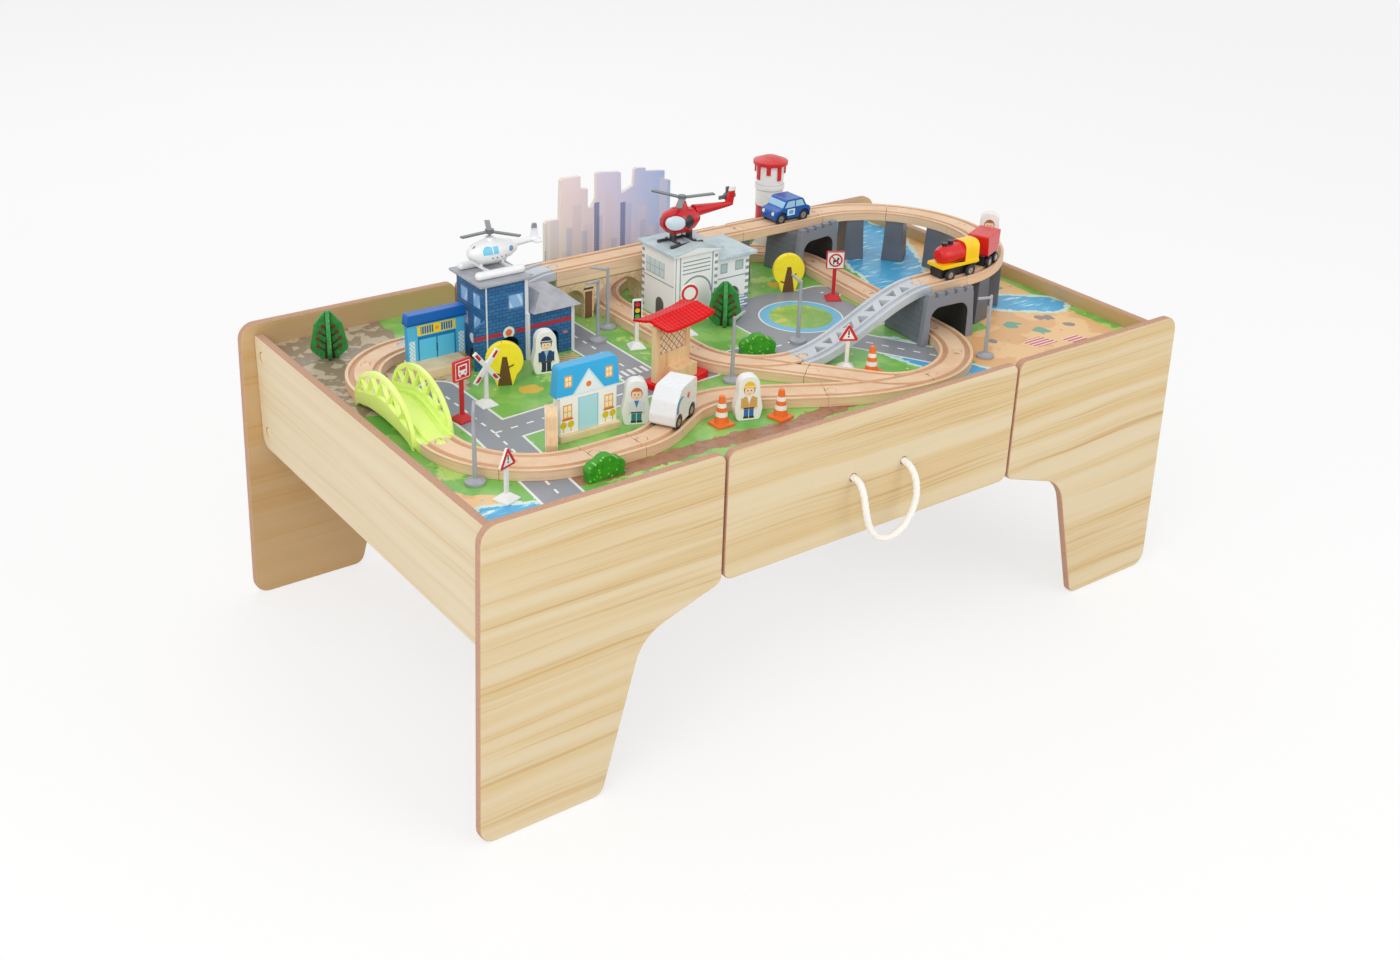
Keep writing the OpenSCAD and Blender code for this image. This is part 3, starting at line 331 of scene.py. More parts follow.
# Rope handle: one twisted cotton cord, both ends pushed through the drawer front and knotted
# behind it. The loop hangs down in front of the drawer by its own weight.
ROPE_RADIUS, ROPE_LAY = 4 * MM, 22 * MM
KNOT_RADIUS, KNOT_GAP, KNOT_LEAD, KNOT_CORD = 4.2, 3, 0.66, 2.6 * MM
KNOT_STEPS, KNOT_POINTS = 20, 34
rope_side = [(-37, -274.5, 280), (-37, -277, 280), (-37, -282.5, 280), (-37, -290.5, 280),
             (-37, -299.5, 277), (-37.74, -307.5, 266), (-37, -311.5, 250), (-33.3, -312.5, 235),
             (-26.64, -312.5, 222), (-16.65, -312.5, 212)]
rope_route = [Vector(p) * MM for p in
              rope_side + [(0, -312.5, 207)] + [(-x, y, z) for x, y, z in reversed(rope_side)]]


def smooth_line(points, steps):
    """Points on a smooth line through a few given ones."""
    line = []
    for i in range(len(points) - 1):
        a, b = points[max(i - 1, 0)], points[i]
        c, d = points[i + 1], points[min(i + 2, len(points) - 1)]
        for k in range(steps):
            t = k / steps
            line.append(0.5 * (2 * b + (c - a) * t + (2 * a - 5 * b + 4 * c - d) * t * t
                               + (3 * b - a - 3 * c + d) * t ** 3))
    return line + [points[-1]]


def cotton(p):
    fuzz, strand = p.noise(1.6, 4), p.noise(0.35, 2)
    colour = cover(ink(246, 243, 236), (fuzz.step(0.45, 0.7), ink(228, 222, 210)),
                   (strand * 0.35, ink(252, 250, 246)))
    return {"Base Color": colour, "Height": (fuzz, 0.0006)}


def laid_rope(line, radius, sides=18, strands=3):
    """A tube along a line whose strands wind round it."""
    mesh = bmesh.new()
    rings, run, across = [], 0.0, Vector((0, 0, 1))
    for i, point in enumerate(line):
        ahead = (line[min(i + 1, len(line) - 1)] - line[max(i - 1, 0)]).normalized()
        across = (across - ahead * across.dot(ahead)).normalized()
        beside = ahead.cross(across)
        ring = []
        for k in range(sides):
            turn = 2 * pi * k / sides
            lobe = abs(cos(strands * (turn - 2 * pi * run / ROPE_LAY) / 2))
            reach = radius * (0.84 + 0.16 * lobe)
            ring.append(mesh.verts.new(point + reach * (cos(turn) * across + sin(turn) * beside)))
        rings.append(ring)
        if i + 1 < len(line):
            run += (line[i + 1] - point).length
    for low, high in zip(rings, rings[1:]):
        for k in range(sides):
            mesh.faces.new((low[k], low[(k + 1) % sides], high[(k + 1) % sides], high[k]))
    mesh.faces.new(list(reversed(rings[0])))
    mesh.faces.new(rings[-1])
    bmesh.ops.recalc_face_normals(mesh, faces=mesh.faces)
    return mesh


cotton_rope = finish("cotton_rope", cotton, roughness=0.9, sheen_weight=0.25)
rope_line = smooth_line(rope_route, 12)
rope_length = sum((q - p).length for p, q in zip(rope_line, rope_line[1:]))
rope = keep("rope_loop", laid_rope(rope_line, ROPE_RADIUS), cotton_rope, "rope_handle", "drawer")
knot_turns = [2 * pi * k / KNOT_STEPS for k in range(KNOT_POINTS)]
for side, end in (("left", rope_route[0]), ("right", rope_route[-1])):
    knot_line = [end + Vector((KNOT_RADIUS * cos(t), KNOT_GAP + KNOT_LEAD * t, KNOT_RADIUS * sin(t))) * MM
                 for t in knot_turns]
    keep("rope_knot_" + side, laid_rope(knot_line, KNOT_CORD, 12), cotton_rope,
                      "rope_handle", "drawer")


# Play board: a printed sheet on fibreboard that lies on the bearers. Its print is a plain town map:
# grass, grey roads with white edges, a river, ponds, sand at the right end and stony ground behind
# on the left.
BOARD_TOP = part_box("play_board")[1].z / MM
ROAD_HALF, KERB, ROUND = 22, 3, (135, 15)
roads = [((-372, -280), (-352, -70)), ((-352, -70), (216, -34)), ((-140, -56), (-140, 165)),
         ((70, -44), (70, 70)), ((70, 66), (214, 66)), ((120, -40), (196, -172)), ((-352, -70), (-352, 60))]
river = [((440, 290), (418, 210), 30), ((418, 210), (356, 100), 50), ((356, 100), (318, 20), 42),
         ((168, -118), (192, -232), 24), ((392, -86), (436, -120), 26), ((-442, -224), (-404, -240), 16)]
path_bends = [(-346, -208), (-262, -216), (-176, -214), (-70, -226), (60, -206)]
clump_spots = (363, -181), (346, -148), (300, -60), (424, -40)
stone_spots = (284, -173), (394, -150), (404, -156), (436, 60), (410, -186)


def lane(p, start, stop):
    """How far a place is from a straight stretch, and how far along it."""
    run = Vector(stop) - Vector(start)
    heading = (run.x / run.length, run.y / run.length, 0)
    reach = p - (*start, 0.0)
    along = p.node("VectorMath", {0: reach, 1: heading}, out=1, operation="DOT_PRODUCT")
    held = p.node("Clamp", {0: along, 1: 0.0, 2: run.length})
    foot = p.node("VectorMath", {0: heading, "Scale": held}, operation="SCALE")
    return p.node("VectorMath", {0: reach, 1: foot}, out=1, operation="DISTANCE"), along


def panes(across, up, *boxes):
    """Rectangles, each given by its middle across and up and its half width and height."""
    return any_of(across.near(a, width) & up.near(b, height) for a, b, width, height in boxes)


def town_map(solid):
    p = solid * (1.0, 1.0, 0.0)
    x, y, z = solid.split()
    broad, fine = p.noise(0.011, 4), p.noise(0.09, 3)
    wave, ragged = (broad - 0.5) * 70, fine - 0.5
    cells, tint = p.cells(0.085), p.cells(0.085, "Color").split()[0]
    flowers, pebbles = (cells < 0.13) & (tint > 0.62), cells.step(0.16, 0.2)
    grass = cover(ink(150, 202, 104), (broad.step(0.42, 0.5), ink(116, 184, 80)),
                  (broad.step(0.6, 0.62), ink(178, 214, 112)),
                  (fine.step(0.64, 0.68, 0.6), ink(92, 160, 66)),
                  (flowers, ink(250, 226, 120)), (flowers & (tint > 0.82), ink(238, 130, 110)))
    meadow = (x + wave * 0.4 > 448) & (y < 40)
    far_end = (x + wave > 312) | ((x + wave > 226) & (y < -140))
    near_corner = (x + y + wave < -616) & (y < -150)
    beach = (far_end & ~meadow) | near_corner
    sand = cover(ink(240, 198, 140), (broad.step(0.5, 0.53), ink(229, 178, 118)),
                 (~pebbles & (tint > 0.8), ink(196, 170, 140)),
                 (~pebbles & (tint > 0.92), ink(150, 205, 190)))
    stony = (wave - x > 318) & (y + wave > 40)
    ground = cover(ink(176, 160, 134), (pebbles, ink(150, 134, 110)),
                   (pebbles & (tint > 0.6), ink(196, 182, 156)))

    earth = any_of(lane(p, *ends)[0] + ragged * 20 < 12 for ends in zip(path_bends, path_bends[1:]))
    soil = cover(ink(168, 122, 92), (fine.step(0.5, 0.6, 0.7), ink(146, 100, 74)))
    shrubs = p.disc(-264, 6, 13 + ragged * 16) | p.disc(178, 122, 10 + ragged * 16)
    clumps, stones = p.discs(10 + ragged * 24, *clump_spots), p.discs(7 + ragged * 14, *stone_spots)
    mat = panes(x + y * 0.3, y, (272, -206, 17, 12), (312, -226, 13, 12))
    banks = [lane(p, start, stop)[0] + ragged * 16 - half for start, stop, half in river]
    foam, water = (any_of(bank < reach for bank in banks) for reach in (6, 0))
    ripple = (p * (0.03, 0.14, 0.0)).noise(1.0, 2)
    pool = cover(ink(72, 172, 222), (ripple.step(0.56, 0.6), ink(124, 204, 236)),
                 (ripple.step(0.66, 0.68), ink(226, 244, 250)))
    colour = cover(grass, (beach, sand), (stony, ground), (earth, soil), (shrubs, ink(222, 184, 60)),
                   (clumps, ink(104, 168, 140)), (stones, ink(140, 132, 124)), (mat, ink(206, 92, 84)),
                   (mat & (y % 6 < 2.4), ink(246, 224, 214)), (foam, ink(206, 234, 226)), (water, pool))

    lanes = [lane(p, *ends) for ends in roads]
    kerb, asphalt = (any_of(gap < half for gap, _ in lanes) for half in (ROAD_HALF + KERB, ROAD_HALF))
    dashes = any_of((gap < 1.3) & (along % 20 < 9) for gap, along in lanes)
    crossing = x.near(-140, ROAD_HALF) & y.near(-14, 8) & (x % 9 < 4.5)
    tar = cover(ink(146, 150, 158), (p.noise(0.6, 2).step(0.5, 0.8, 0.5), ink(122, 127, 136)))
    lawn = cover(ink(150, 196, 92), (fine.step(0.5, 0.56), ink(206, 204, 96)),
                 (broad.step(0.5, 0.54, 0.7), ink(112, 172, 76)))
    lot = x.near(-188, 20) & y.near(58, 12)
    colour = cover(colour, (kerb, ink(236, 238, 238)), (asphalt, tar),
                   (dashes | crossing, ink(245, 245, 243)),
                   (p.disc(*ROUND, 86), tar), (p.disc(*ROUND, 54), ink(236, 240, 240)),
                   (p.disc(*ROUND, 52), ink(110, 190, 226)), (p.disc(*ROUND, 40), lawn),
                   (lot, ink(236, 206, 98)), (lot & ((x + y) % 9 < 4), ink(160, 158, 150)))
    board = cover(ink(208, 178, 146), (solid.noise(0.8, 3).step(0.4, 0.7), ink(186, 152, 120)))
    return {"Base Color": cover(board, (z > BOARD_TOP - 0.3, colour)), "Roughness": 0.34 + 0.12 * fine}


dress("play_board", finish("town_map", town_map, coat_weight=0.15, coat_roughness=0.25), 0.2)


# Track pieces: routed beech, oiled. The groove floors are darker and smoother, and the foot of the
# groove walls is a little darker. Each piece ends in a round peg that drops into the next one. The
# upper line lies a pier's height above the lower.
TRACK_TOP, GROOVE_FLOOR, PIER_HEIGHT = BOARD_TOP + 12, BOARD_TOP + 9, 57
UPPER_TOP = TRACK_TOP + PIER_HEIGHT


def beech(p):
    x, y, z = p.split()
    up = p.node("TexCoord", {}, out="Normal").split()[2]
    figure = sheet(x * 0.02, y * 0.02, z * 0.5).noise(1.0, 4, 0.6)
    flecks, pores = (p * (0.5, 0.5, 0.9)).noise(1.0, 3, 0.75), (p * (0.22, 0.22, 0.4)).cells(1.0)
    lower, upper = GROOVE_FLOOR, GROOVE_FLOOR + PIER_HEIGHT
    floors = (up > 0.6) & (z.near(lower, 1.6) | z.near(upper, 1.6))
    walls = (abs(up) < 0.3) & (z.near(lower + 1.6, 1.2) | z.near(upper + 1.6, 1.2))
    colour = cover(ink(236, 204, 171), (figure.step(0.42, 0.66), ink(226, 188, 150)),
                   (flecks.step(0.58, 0.72, 0.6), ink(210, 165, 125)), (pores < 0.06, ink(180, 132, 96)),
                   (floors * 0.75, ink(196, 146, 108)), (walls * 0.3, ink(190, 142, 106)))
    return {"Base Color": colour, "Roughness": 0.42 + 0.16 * flecks - 0.08 * floors,
            "Height": (flecks, 0.00015)}


oiled_beech = finish("oiled_beech", beech)
for node in ("curved_tracks", "straight_tracks", "ramp_switch", "front_switch"):
    dress(node, oiled_beech, 0.7)


# Lime bridge, grey ramps and dark piers: moulded plastics with the fine texture of a tool's
# surface. The lime lets some light through. All stand loose on the board: the ramps lead up to
# the upper line, and the piers hold it.
def moulded(name, colour, shade, grain=0.6, depth=0.00006, **constants):
    def paint(p):
        skin, cloud = p.noise(grain, 4, 0.7), p.noise(0.03, 3)
        return {"Base Color": cover(colour, (cloud.step(0.35, 0.7, 0.8), shade),
                                    (skin.step(0.6, 0.8, 0.35), shade)),
                "Height": (skin, depth)}
    return finish(name, paint, **constants)


lime = moulded("lime_plastic", ink(232, 252, 146), ink(220, 246, 122), roughness=0.22,
               subsurface_weight=0.45,
               subsurface_radius=(0.012, 0.016, 0.004), subsurface_scale=0.4)
pale_grey = moulded("pale_grey_plastic", ink(200, 205, 210), ink(184, 190, 196), roughness=0.35)
slate_grey = moulded("slate_grey_plastic", ink(104, 108, 118), ink(92, 96, 106), roughness=0.45)
dress("lime_bridge", lime, 0.6)
dress("grey_ramps", pale_grey, 0.5)
dress("track_piers", slate_grey, 0.8)


# Tunnels: the same dark plastic, moulded like rough stone behind a smooth portal. The bores are
# painted near black inside as painted shade. They stand over the lower line and carry the upper one.
TUNNELS = ((237, -143, BOARD_TOP, -4), 43), ((257, 129, BOARD_TOP, 8), 37)
PORTAL_MIDDLE, PORTAL_HALF, BORE_HALF, BORE_TOP = 3.6, 4.7, 30.2, 48.5


def rough_stone(p):
    x, y, z = p.split()
    face = sheet(x + y, z)
    blocks = face.node("TexBrick", {"Vector": face, "Color1": (1, 1, 1, 1), "Color2": (0.6, 0.6, 0.6, 1),
                                    "Mortar": (0, 0, 0, 1), "Scale": 1.0, "Mortar Size": 0.7,
                                    "Brick Width": 15.0, "Row Height": 8.0})
    chips, skin = p.noise(0.22, 4, 0.7), p.noise(1.2, 2)
    portals, bore_shades = [], []
    for spot, half_way in TUNNELS:
        across, along, up = p.place(*spot).split()
        portals.append(along.near(PORTAL_MIDDLE, PORTAL_HALF))
        bore_shades.append(along.near(half_way, half_way - 1) & across.near(0, BORE_HALF) & (up < BORE_TOP))
    # Inside each bore the stone is painted near black: painted shade.
    portal, bore = any_of(portals), any_of(bore_shades)
    colour = cover(ink(104, 108, 116), (blocks * 0.5, ink(120, 124, 132)),
                   (chips.step(0.55, 0.75, 0.5), ink(86, 90, 98)),
                   (portal, cover(ink(132, 136, 146), (skin * 0.3, ink(118, 122, 131)))),
                   (bore * 0.9, ink(16, 16, 18)))
    return {"Base Color": colour, "Roughness": 0.5 + 0.15 * skin,
            "Height": ((blocks * 0.6 + chips) * ~portal + skin * 0.05, 0.0007)}


dress("track_tunnels", finish("stone_plastic", rough_stone), 0.8)


# Stone viaduct: a wood block with two arches, printed all over with small pale stones and
# one brown door. It stands under the upper line.
COPING, DOOR_ACROSS = 376, -94


def speckled_stone(p):
    x, y, z = p.split()
    blot, front = p.noise(0.12, 3), y < 153
    colour = cover(ink(226, 202, 164), (blot.step(0.45, 0.6), ink(212, 184, 142)),
                   (p.cells(0.3) < 0.2, ink(150, 112, 74)),
                   (z > COPING, ink(232, 206, 170)), (z.near(COPING, 0.8), ink(168, 130, 92)),
                   (front & panes(x, z, (DOOR_ACROSS, 344, 5, 18)), ink(96, 62, 40)),
                   (front & panes(x, z, (DOOR_ACROSS, 344, 3.6, 16)), ink(124, 82, 52)),
                   (front & panes(x, z, (DOOR_ACROSS, 366, 7, 1.4)), ink(84, 56, 36)))
    return {"Base Color": colour, "Roughness": 0.45 + 0.15 * blot}


dress("stone_viaduct", finish("speckled_stone", speckled_stone), 0.7)


# Brick tower and wing: folded board, printed with blue bricks, pale windows, a red band and a
# plain round badge. Grey printed roofs lie on top.
SIDE_WINDOWS, BADGE = ((101, 404), (130, 404), (101, 376), (130, 376)), (-248, 366)


def blue_bricks(p):
    x, y, z = p.split()
    left, front, wing = x < -276, (y < 81.5) & (x < -221.5), (y < 78.5) & (x > -221)
    face, front_face = sheet(x + y, z), sheet(x, z)
    wall = face.node("TexBrick", {"Vector": face, "Color1": ink(50, 116, 172), "Color2": ink(32, 96, 150),
                                  "Mortar": ink(18, 52, 98), "Scale": 1.0, "Mortar Size": 0.32,
                                  "Brick Width": 9.0, "Row Height": 4.2})
    wear = p.noise(0.15, 4)
    frames = ((left & panes(y, z, *((a, b, 8.5, 9) for a, b in SIDE_WINDOWS)))
              | (front & panes(x, z, (-238, 403, 10, 9))))
    glass = ((left & panes(y, z, *((a, b, 7, 7.6) for a, b in SIDE_WINDOWS)))
             | (front & panes(x, z, (-238, 403, 8.6, 7.6))))
    glare = (x + y + z * 0.5) % 16 < 4
    band = (front & z.near(366, 2.6) & ~x.near(-248, 9)) | (wing & z.near(368, 2.6))
    badges = (front & front_face.disc(*BADGE, 7.5)) | (left & sheet(y, z).disc(114, 354, 6))
    trim = (front & (x.near(-276, 0.9) | x.near(-223.5, 2.6))) | (wing & x.near(-163.5, 2.2))
    accents = wing & panes(x, z, (-174, 352, 3, 1.4), (-208, 344, 3, 1.4), (-203, 360, 3, 1.4))
    arch = left & sheet(y, z * 0.55).disc(114, 181, 7)
    colour = cover(wall, (wear.step(0.6, 0.8, 0.4), ink(64, 126, 178)), (frames, ink(86, 132, 190)),
                   (glass, ink(140, 184, 230)), (glass & glare, ink(190, 216, 244)),
                   (band, ink(178, 44, 62)),
                   (badges, ink(236, 236, 232)), (front & front_face.disc(*BADGE, 4.2), ink(228, 120, 60)),
                   (trim, ink(222, 224, 228)), (accents, ink(214, 120, 74)), (arch, ink(30, 34, 40)))
    return {"Base Color": colour, "Roughness": 0.4 + 0.15 * wear, "Height": (wear, 0.00008)}


def slate(colour, shade):
    def paint(p):
        x, y, z = p.split()
        rows, blot = (x + y) % 11 < 0.6, p.noise(0.06, 4)
        return {"Base Color": cover(colour, (blot.step(0.45, 0.7, 0.7), shade), (rows * 0.35, shade)),
                "Roughness": 0.45 + 0.15 * blot, "Height": (rows, 0.0002)}
    return paint


dress("police_walls", finish("blue_bricks", blue_bricks), 0.4)
dress("police_roofs", finish("grey_slate", slate(ink(176, 178, 184), ink(152, 154, 162))), 0.4)


# Station: the same folded board in white with grey line work: louvres over an arched gate, stone
# corners, a wide side window and two small windows in the hall. A low gable rises over its front.
GATE_ACROSS, HALL_FROM = 14.5, 48


def line_work(p):
    x, y, z = p.split()
    left, front, hall = x < -18, (y < 77.5) & (x < HALL_FROM), (y < 81.5) & (x > HALL_FROM)
    flat, soot = sheet(x, z), p.noise(0.08, 4)
    louvres = front & x.near(GATE_ACROSS, 21) & z.near(400, 10) & (z % 5 < 1.6)
    posts = front & panes(x, z, (-10, 371, 0.9, 42), (39, 371, 0.9, 42), (-16.5, 371, 0.6, 42))
    gate = front & flat.disc(GATE_ACROSS, 362, 24) & ~flat.disc(GATE_ACROSS, 362, 21.5) & (z > 362)
    corners = ((front & x.near(44.5, 2.4)) | (left & y.near(143, 3)) | (hall & x.near(97, 3))) & (z % 9 < 4)
    sills = (hall & panes(x, z, (72, 372, 24, 0.8))) | (left & panes(y, z, (111, 376, 34, 0.7)))
    side = left & panes(y, z, (117, 391, 20, 10))
    bars = side & (((y - 97) % 10 < 1.2) | ((z - 381) % 10 < 1.2))
    door = left & (sheet(y, z).disc(106, 346, 8.5) | panes(y, z, (106, 336, 8.5, 10)))
    hall_frames = hall & panes(x, z, (60, 385, 5.5, 6.5), (84, 386, 6.5, 6.5))
    hall_glass = hall & panes(x, z, (60, 385, 4, 5), (84, 386, 5, 5))
    tiles = hall & z.near(336, 9) & x.near(90, 10) & (z % 4 < 1.6)
    colour = cover(ink(245, 246, 247), (soot.step(0.5, 0.8, 0.3), ink(226, 229, 232)),
                   (louvres | posts | gate | corners | sills, ink(146, 154, 162)),
                   (side, ink(206, 222, 228)),
                   (bars, ink(168, 178, 186)), (door, ink(92, 92, 96)), (hall_frames, ink(158, 166, 172)),
                   (hall_glass, ink(176, 204, 200)), (tiles, ink(112, 150, 190)))
    return {"Base Color": colour, "Roughness": 0.42 + 0.12 * soot}


def gabled_slate(p):
    painted = slate(ink(198, 214, 219), ink(168, 188, 197))(p)
    x, y, z = p.split()
    wall = (y < 72.6) & (x < 53.5) & (z < 423.5 - abs(x - GATE_ACROSS) * 0.208)
    painted["Base Color"] = cover(painted["Base Color"], (wall, ink(236, 238, 240)))
    return painted


dress("station_walls", finish("line_work", line_work), 0.4)
dress("station_roofs", finish("gabled_slate", gabled_slate), 0.4)


# Garage and house: flat printed boards let into wooden feet. The garage has double doors under
# a yellow strip with two louvres; the house has a blue roof with dormers and flower pots.
GARAGE, HOUSE, POTS = -320, -271, (-302, -293, -250, -241)
house_windows = [(-297, 360, 5.6, 8), (-246, 360, 5.6, 8), (-296, 394, 4.6, 6.5), (-246, 394, 4.6, 6.5)]


def raw_wood(p):
    return p.noise(0.05, 3).ramp((0.35, ink(238, 214, 172)), (0.7, ink(222, 192, 146)))


def garage_print(p):
    x, y, z = p.split()
    louvres = panes(x, z, (-332, 375, 8, 4.6), (-307, 375, 8, 4.6))
    doors = panes(x, z, (-331.5, 349, 10.6, 15), (-308.5, 349, 10.6, 15))
    jambs = panes(x, z, (-351, 348, 3.6, 16), (-289, 348, 3.6, 16))
    checks = ((x % 4.8 < 2.4) - (z % 4.8 < 2.4)).near(0, 0.5)
    face = cover(ink(84, 186, 232), (panes(x, z, (GARAGE, 350, 24, 18)), ink(28, 120, 188)),
                 (doors, ink(92, 200, 242)),
                 (panes(x, z, (GARAGE, 351, 1.1, 5)), ink(40, 90, 130)), (jambs, ink(150, 216, 244)),
                 (jambs & checks, ink(240, 248, 250)),
                 (panes(x, z, (GARAGE, 375, 24, 6)), ink(246, 214, 44)),
                 (louvres, ink(60, 96, 130)), (louvres & (x % 3 < 1), ink(196, 206, 170)),
                 (panes(x, z, (GARAGE + 0.5, 375, 2, 2)), ink(236, 150, 60)))
    whole = cover(ink(60, 168, 220), (y < 118.6, face), (z > 383, ink(8, 98, 184)),
                  ((z > 383) & (z < 385), ink(6, 70, 140)), (z < 338.4, raw_wood(p)))
    return {"Base Color": whole, "Roughness": 0.36 + 0.1 * p.noise(0.1)}


def house_print(p):
    x, y, z = p.split()
    flat, roof, front = sheet(x, z), z > 376, y < -125.4
    panels = panes(x, z, *((a, b, c - 1.3, d - 1.5) for a, b, c, d in house_windows))
    muntins = panels & (panes(x, z, *((a, b, 0.5, d) for a, b, c, d in house_windows))
                        | panes(x, z, *((a, b, c, 0.5) for a, b, c, d in house_windows)))
    gable = (abs(x - HOUSE) < (404 - z) * 0.75) & (z > 378)
    eave = gable & ~(abs(x - HOUSE) < (400.5 - z) * 0.75)
    pots = any_of(flat.disc(pot, 345, 4) | panes(x, z, (pot, 339.5, 0.7, 3)) for pot in POTS)
    face = cover(ink(248, 248, 246), (roof, ink(50, 178, 236)), (roof & (z < 378), ink(226, 240, 246)),
                 (panes(x, z, (HOUSE - 0.5, 354, 12.5, 19)), ink(150, 208, 226)),
                 (panes(x, z, (HOUSE - 0.5, 354, 11, 18)), ink(178, 226, 238)),
                 (panes(x, z, *house_windows), ink(240, 160, 70)), (panels, ink(252, 238, 196)),
                 (muntins, ink(240, 172, 90)),
                 (panes(x, z, (-297, 351, 6.6, 1.1), (-246, 351, 6.6, 1.1)), ink(226, 110, 50)),
                 (gable, ink(236, 246, 250)), (eave, ink(200, 232, 244)),
                 (flat.disc(HOUSE, 386, 3.2), ink(236, 130, 50)), (pots, ink(226, 198, 36)))
    whole = cover(ink(240, 238, 232), (front, face), (roof & ~front, ink(60, 164, 214)),
                  (z < 335.4, raw_wood(p)))
    return {"Base Color": whole, "Roughness": 0.36 + 0.1 * p.noise(0.1)}


dress("garage_block", finish("garage_print", garage_print), 0.6)
dress("house_block", finish("house_print", house_print), 0.6)


# Shelter: red plastic platform, wooden posts with a bench and a lattice panel, and a moulded
# red roof whose tiles lie in rows and whose corners kick up.
SHELTER, ROOF_MIDDLE = (-114, -63, BOARD_TOP, 15), (-111, -53, BOARD_TOP)
ROOF_LONG, ROOF_WIDE, RIDGE, ROOF_FALL, CORNER_KICK, ROOF_THICK = 84, 50, 83, 9, 3.5, 3
TILE_WIDE, TILE_LONG = 6, 5
glossy_red = moulded("red_plastic", ink(226, 18, 22), ink(210, 14, 20), grain=0.8, roughness=0.3,
                     specular_ior_level=0.12)


def post_wood(p):
    x, y, z = p.split()
    lattice = x.near(-3, 22) & y.near(4.5, 2.7) & z.near(52, 14)
    bars = lattice & (((x + z) % 9 < 1.4) | ((x - z) % 9 < 1.4))
    grain = (p * (0.2, 0.2, 0.03)).noise(1.0, 4)
    wood = grain.ramp((0.35, ink(240, 208, 164)), (0.7, ink(226, 184, 134)))
    return {"Base Color": cover(wood, (lattice * 0.6, ink(236, 214, 186)), (bars, ink(140, 104, 82))),
            "Roughness": 0.42 + 0.15 * grain}


dress("canopy_platform", glossy_red, 0.7)
dress("canopy_posts", finish("post_wood", post_wood, SHELTER), 0.6)
tiled_roof = bmesh.new()
bmesh.ops.create_grid(tiled_roof, x_segments=126, y_segments=60, size=0.5)
for v in tiled_roof.verts:
    along, across = v.co.x * ROOF_LONG, v.co.y * ROOF_WIDE
    to_end, to_side = abs(along) * 2 / ROOF_LONG, abs(across) * 2 / ROOF_WIDE
    rise = RIDGE - ROOF_FALL * to_side ** 0.8 + CORNER_KICK * to_end ** 4 * to_side
    tile = 0.55 * abs(sin(along * pi / TILE_WIDE)) + 0.5 * (abs(across) % TILE_LONG) / TILE_LONG
    v.co = Vector((along, across, rise + tile)) * MM
bmesh.ops.solidify(tiled_roof, geom=tiled_roof.faces[:], thickness=ROOF_THICK * MM)
bmesh.ops.recalc_face_normals(tiled_roof, faces=tiled_roof.faces)
roof_turn = Matrix.Rotation(radians(SHELTER[3]), 4, "Z")
tiled_roof.transform(Matrix.Translation(Vector(ROOF_MIDDLE) * MM) @ roof_turn)
keep("tiled_roof", tiled_roof, glossy_red, "canopy_roof")


# Skyline: one flat board standing against the rear panel, printed with a haze of plain towers
# that fade from rose to blue. Its back is bare.
tower_rows = ((17, 13, 110, ink(224, 210, 228), 0.5, 3.1), (23, 9, 80, ink(176, 184, 224), 0.45, 7.7),
              (41, 8, 84, ink(60, 92, 164), 0.7, 1.3))


def haze_of_towers(p):
    x, y, z = p.split()
    sky = x.node("MapRange", {0: x + (z - 400) * 0.25, 1: -95.0, 2: 112.0}).ramp(
        (0.0, ink(250, 240, 236)), (0.3, ink(246, 228, 232)), (0.62, ink(220, 214, 240)),
        (1.0, ink(174, 196, 238)))
    glow = z.node("MapRange", {0: z, 1: 380.0, 2: 327.0})
    towers = cover(sky, (glow * 0.5, ink(248, 226, 214)))
    for wide, slim, tallest, colour, weight, seed in tower_rows:
        shifted = x + 90 + seed
        column = shifted.sum("FLOOR", shifted / wide)
        height = column.node("TexWhiteNoise", {"W": column + seed}, noise_dimensions="1D")
        body = (z < 345 + height * tallest) & (shifted % wide < slim)
        lit = body & (x % 3.4 < 1.2) & (z % 4.2 < 1.6)
        towers = cover(towers, (body * weight, colour), (lit * 0.25, ink(248, 240, 242)))
    return {"Base Color": cover(ink(234, 224, 214), (y < 272, towers)),
            "Roughness": 0.4 + 0.1 * p.noise(0.05)}


dress("skyline_board", finish("haze_of_towers", haze_of_towers), 0.5)


# Water tower: a turned wooden post, white with a red band, under a red cap with paint runs.
# It stands loose behind the upper line.
def tower_paint(p):
    x, y, z = p.split()
    ring = p.node("VectorMath", {0: p * (1.0, 1.0, 0.0)}, out=1, operation="LENGTH")
    gloss = p.noise(0.1, 3)
    colour = cover(ink(240, 240, 238), (gloss.step(0.5, 0.8, 0.4), ink(226, 226, 224)),
                   (z.near(45, 20), ink(206, 30, 34)),
                   (((ring > 19.6) & (z > 100)) | (z > 121), ink(212, 34, 36)),
                   (z.near(95, 0.7) | z.near(87, 0.6), ink(200, 200, 200)))
    return {"Base Color": colour, "Roughness": 0.26 + 0.12 * gloss}


dress("water_tower", finish("tower_paint", tower_paint, (261, 244.5, BOARD_TOP)), 0.6)


# Street lamps: grey moulded posts with one level arm, each in one piece with its round foot.
# They stand loose on the board.
lamp_plastic = moulded("lamp_plastic", ink(168, 172, 178), ink(148, 153, 160), roughness=0.35)
dress("street_lamps", lamp_plastic, 0.3)


# Road signs: white or red moulded posts on square feet with flat printed boards. Each board has
# a plain road mark of the common kinds: tram stop, crossing, warning, ban and signal light.
SIGN_WHITE, SIGN_RED, SIGN_BLACK = ink(238, 238, 236), ink(206, 38, 42), ink(38, 38, 40)


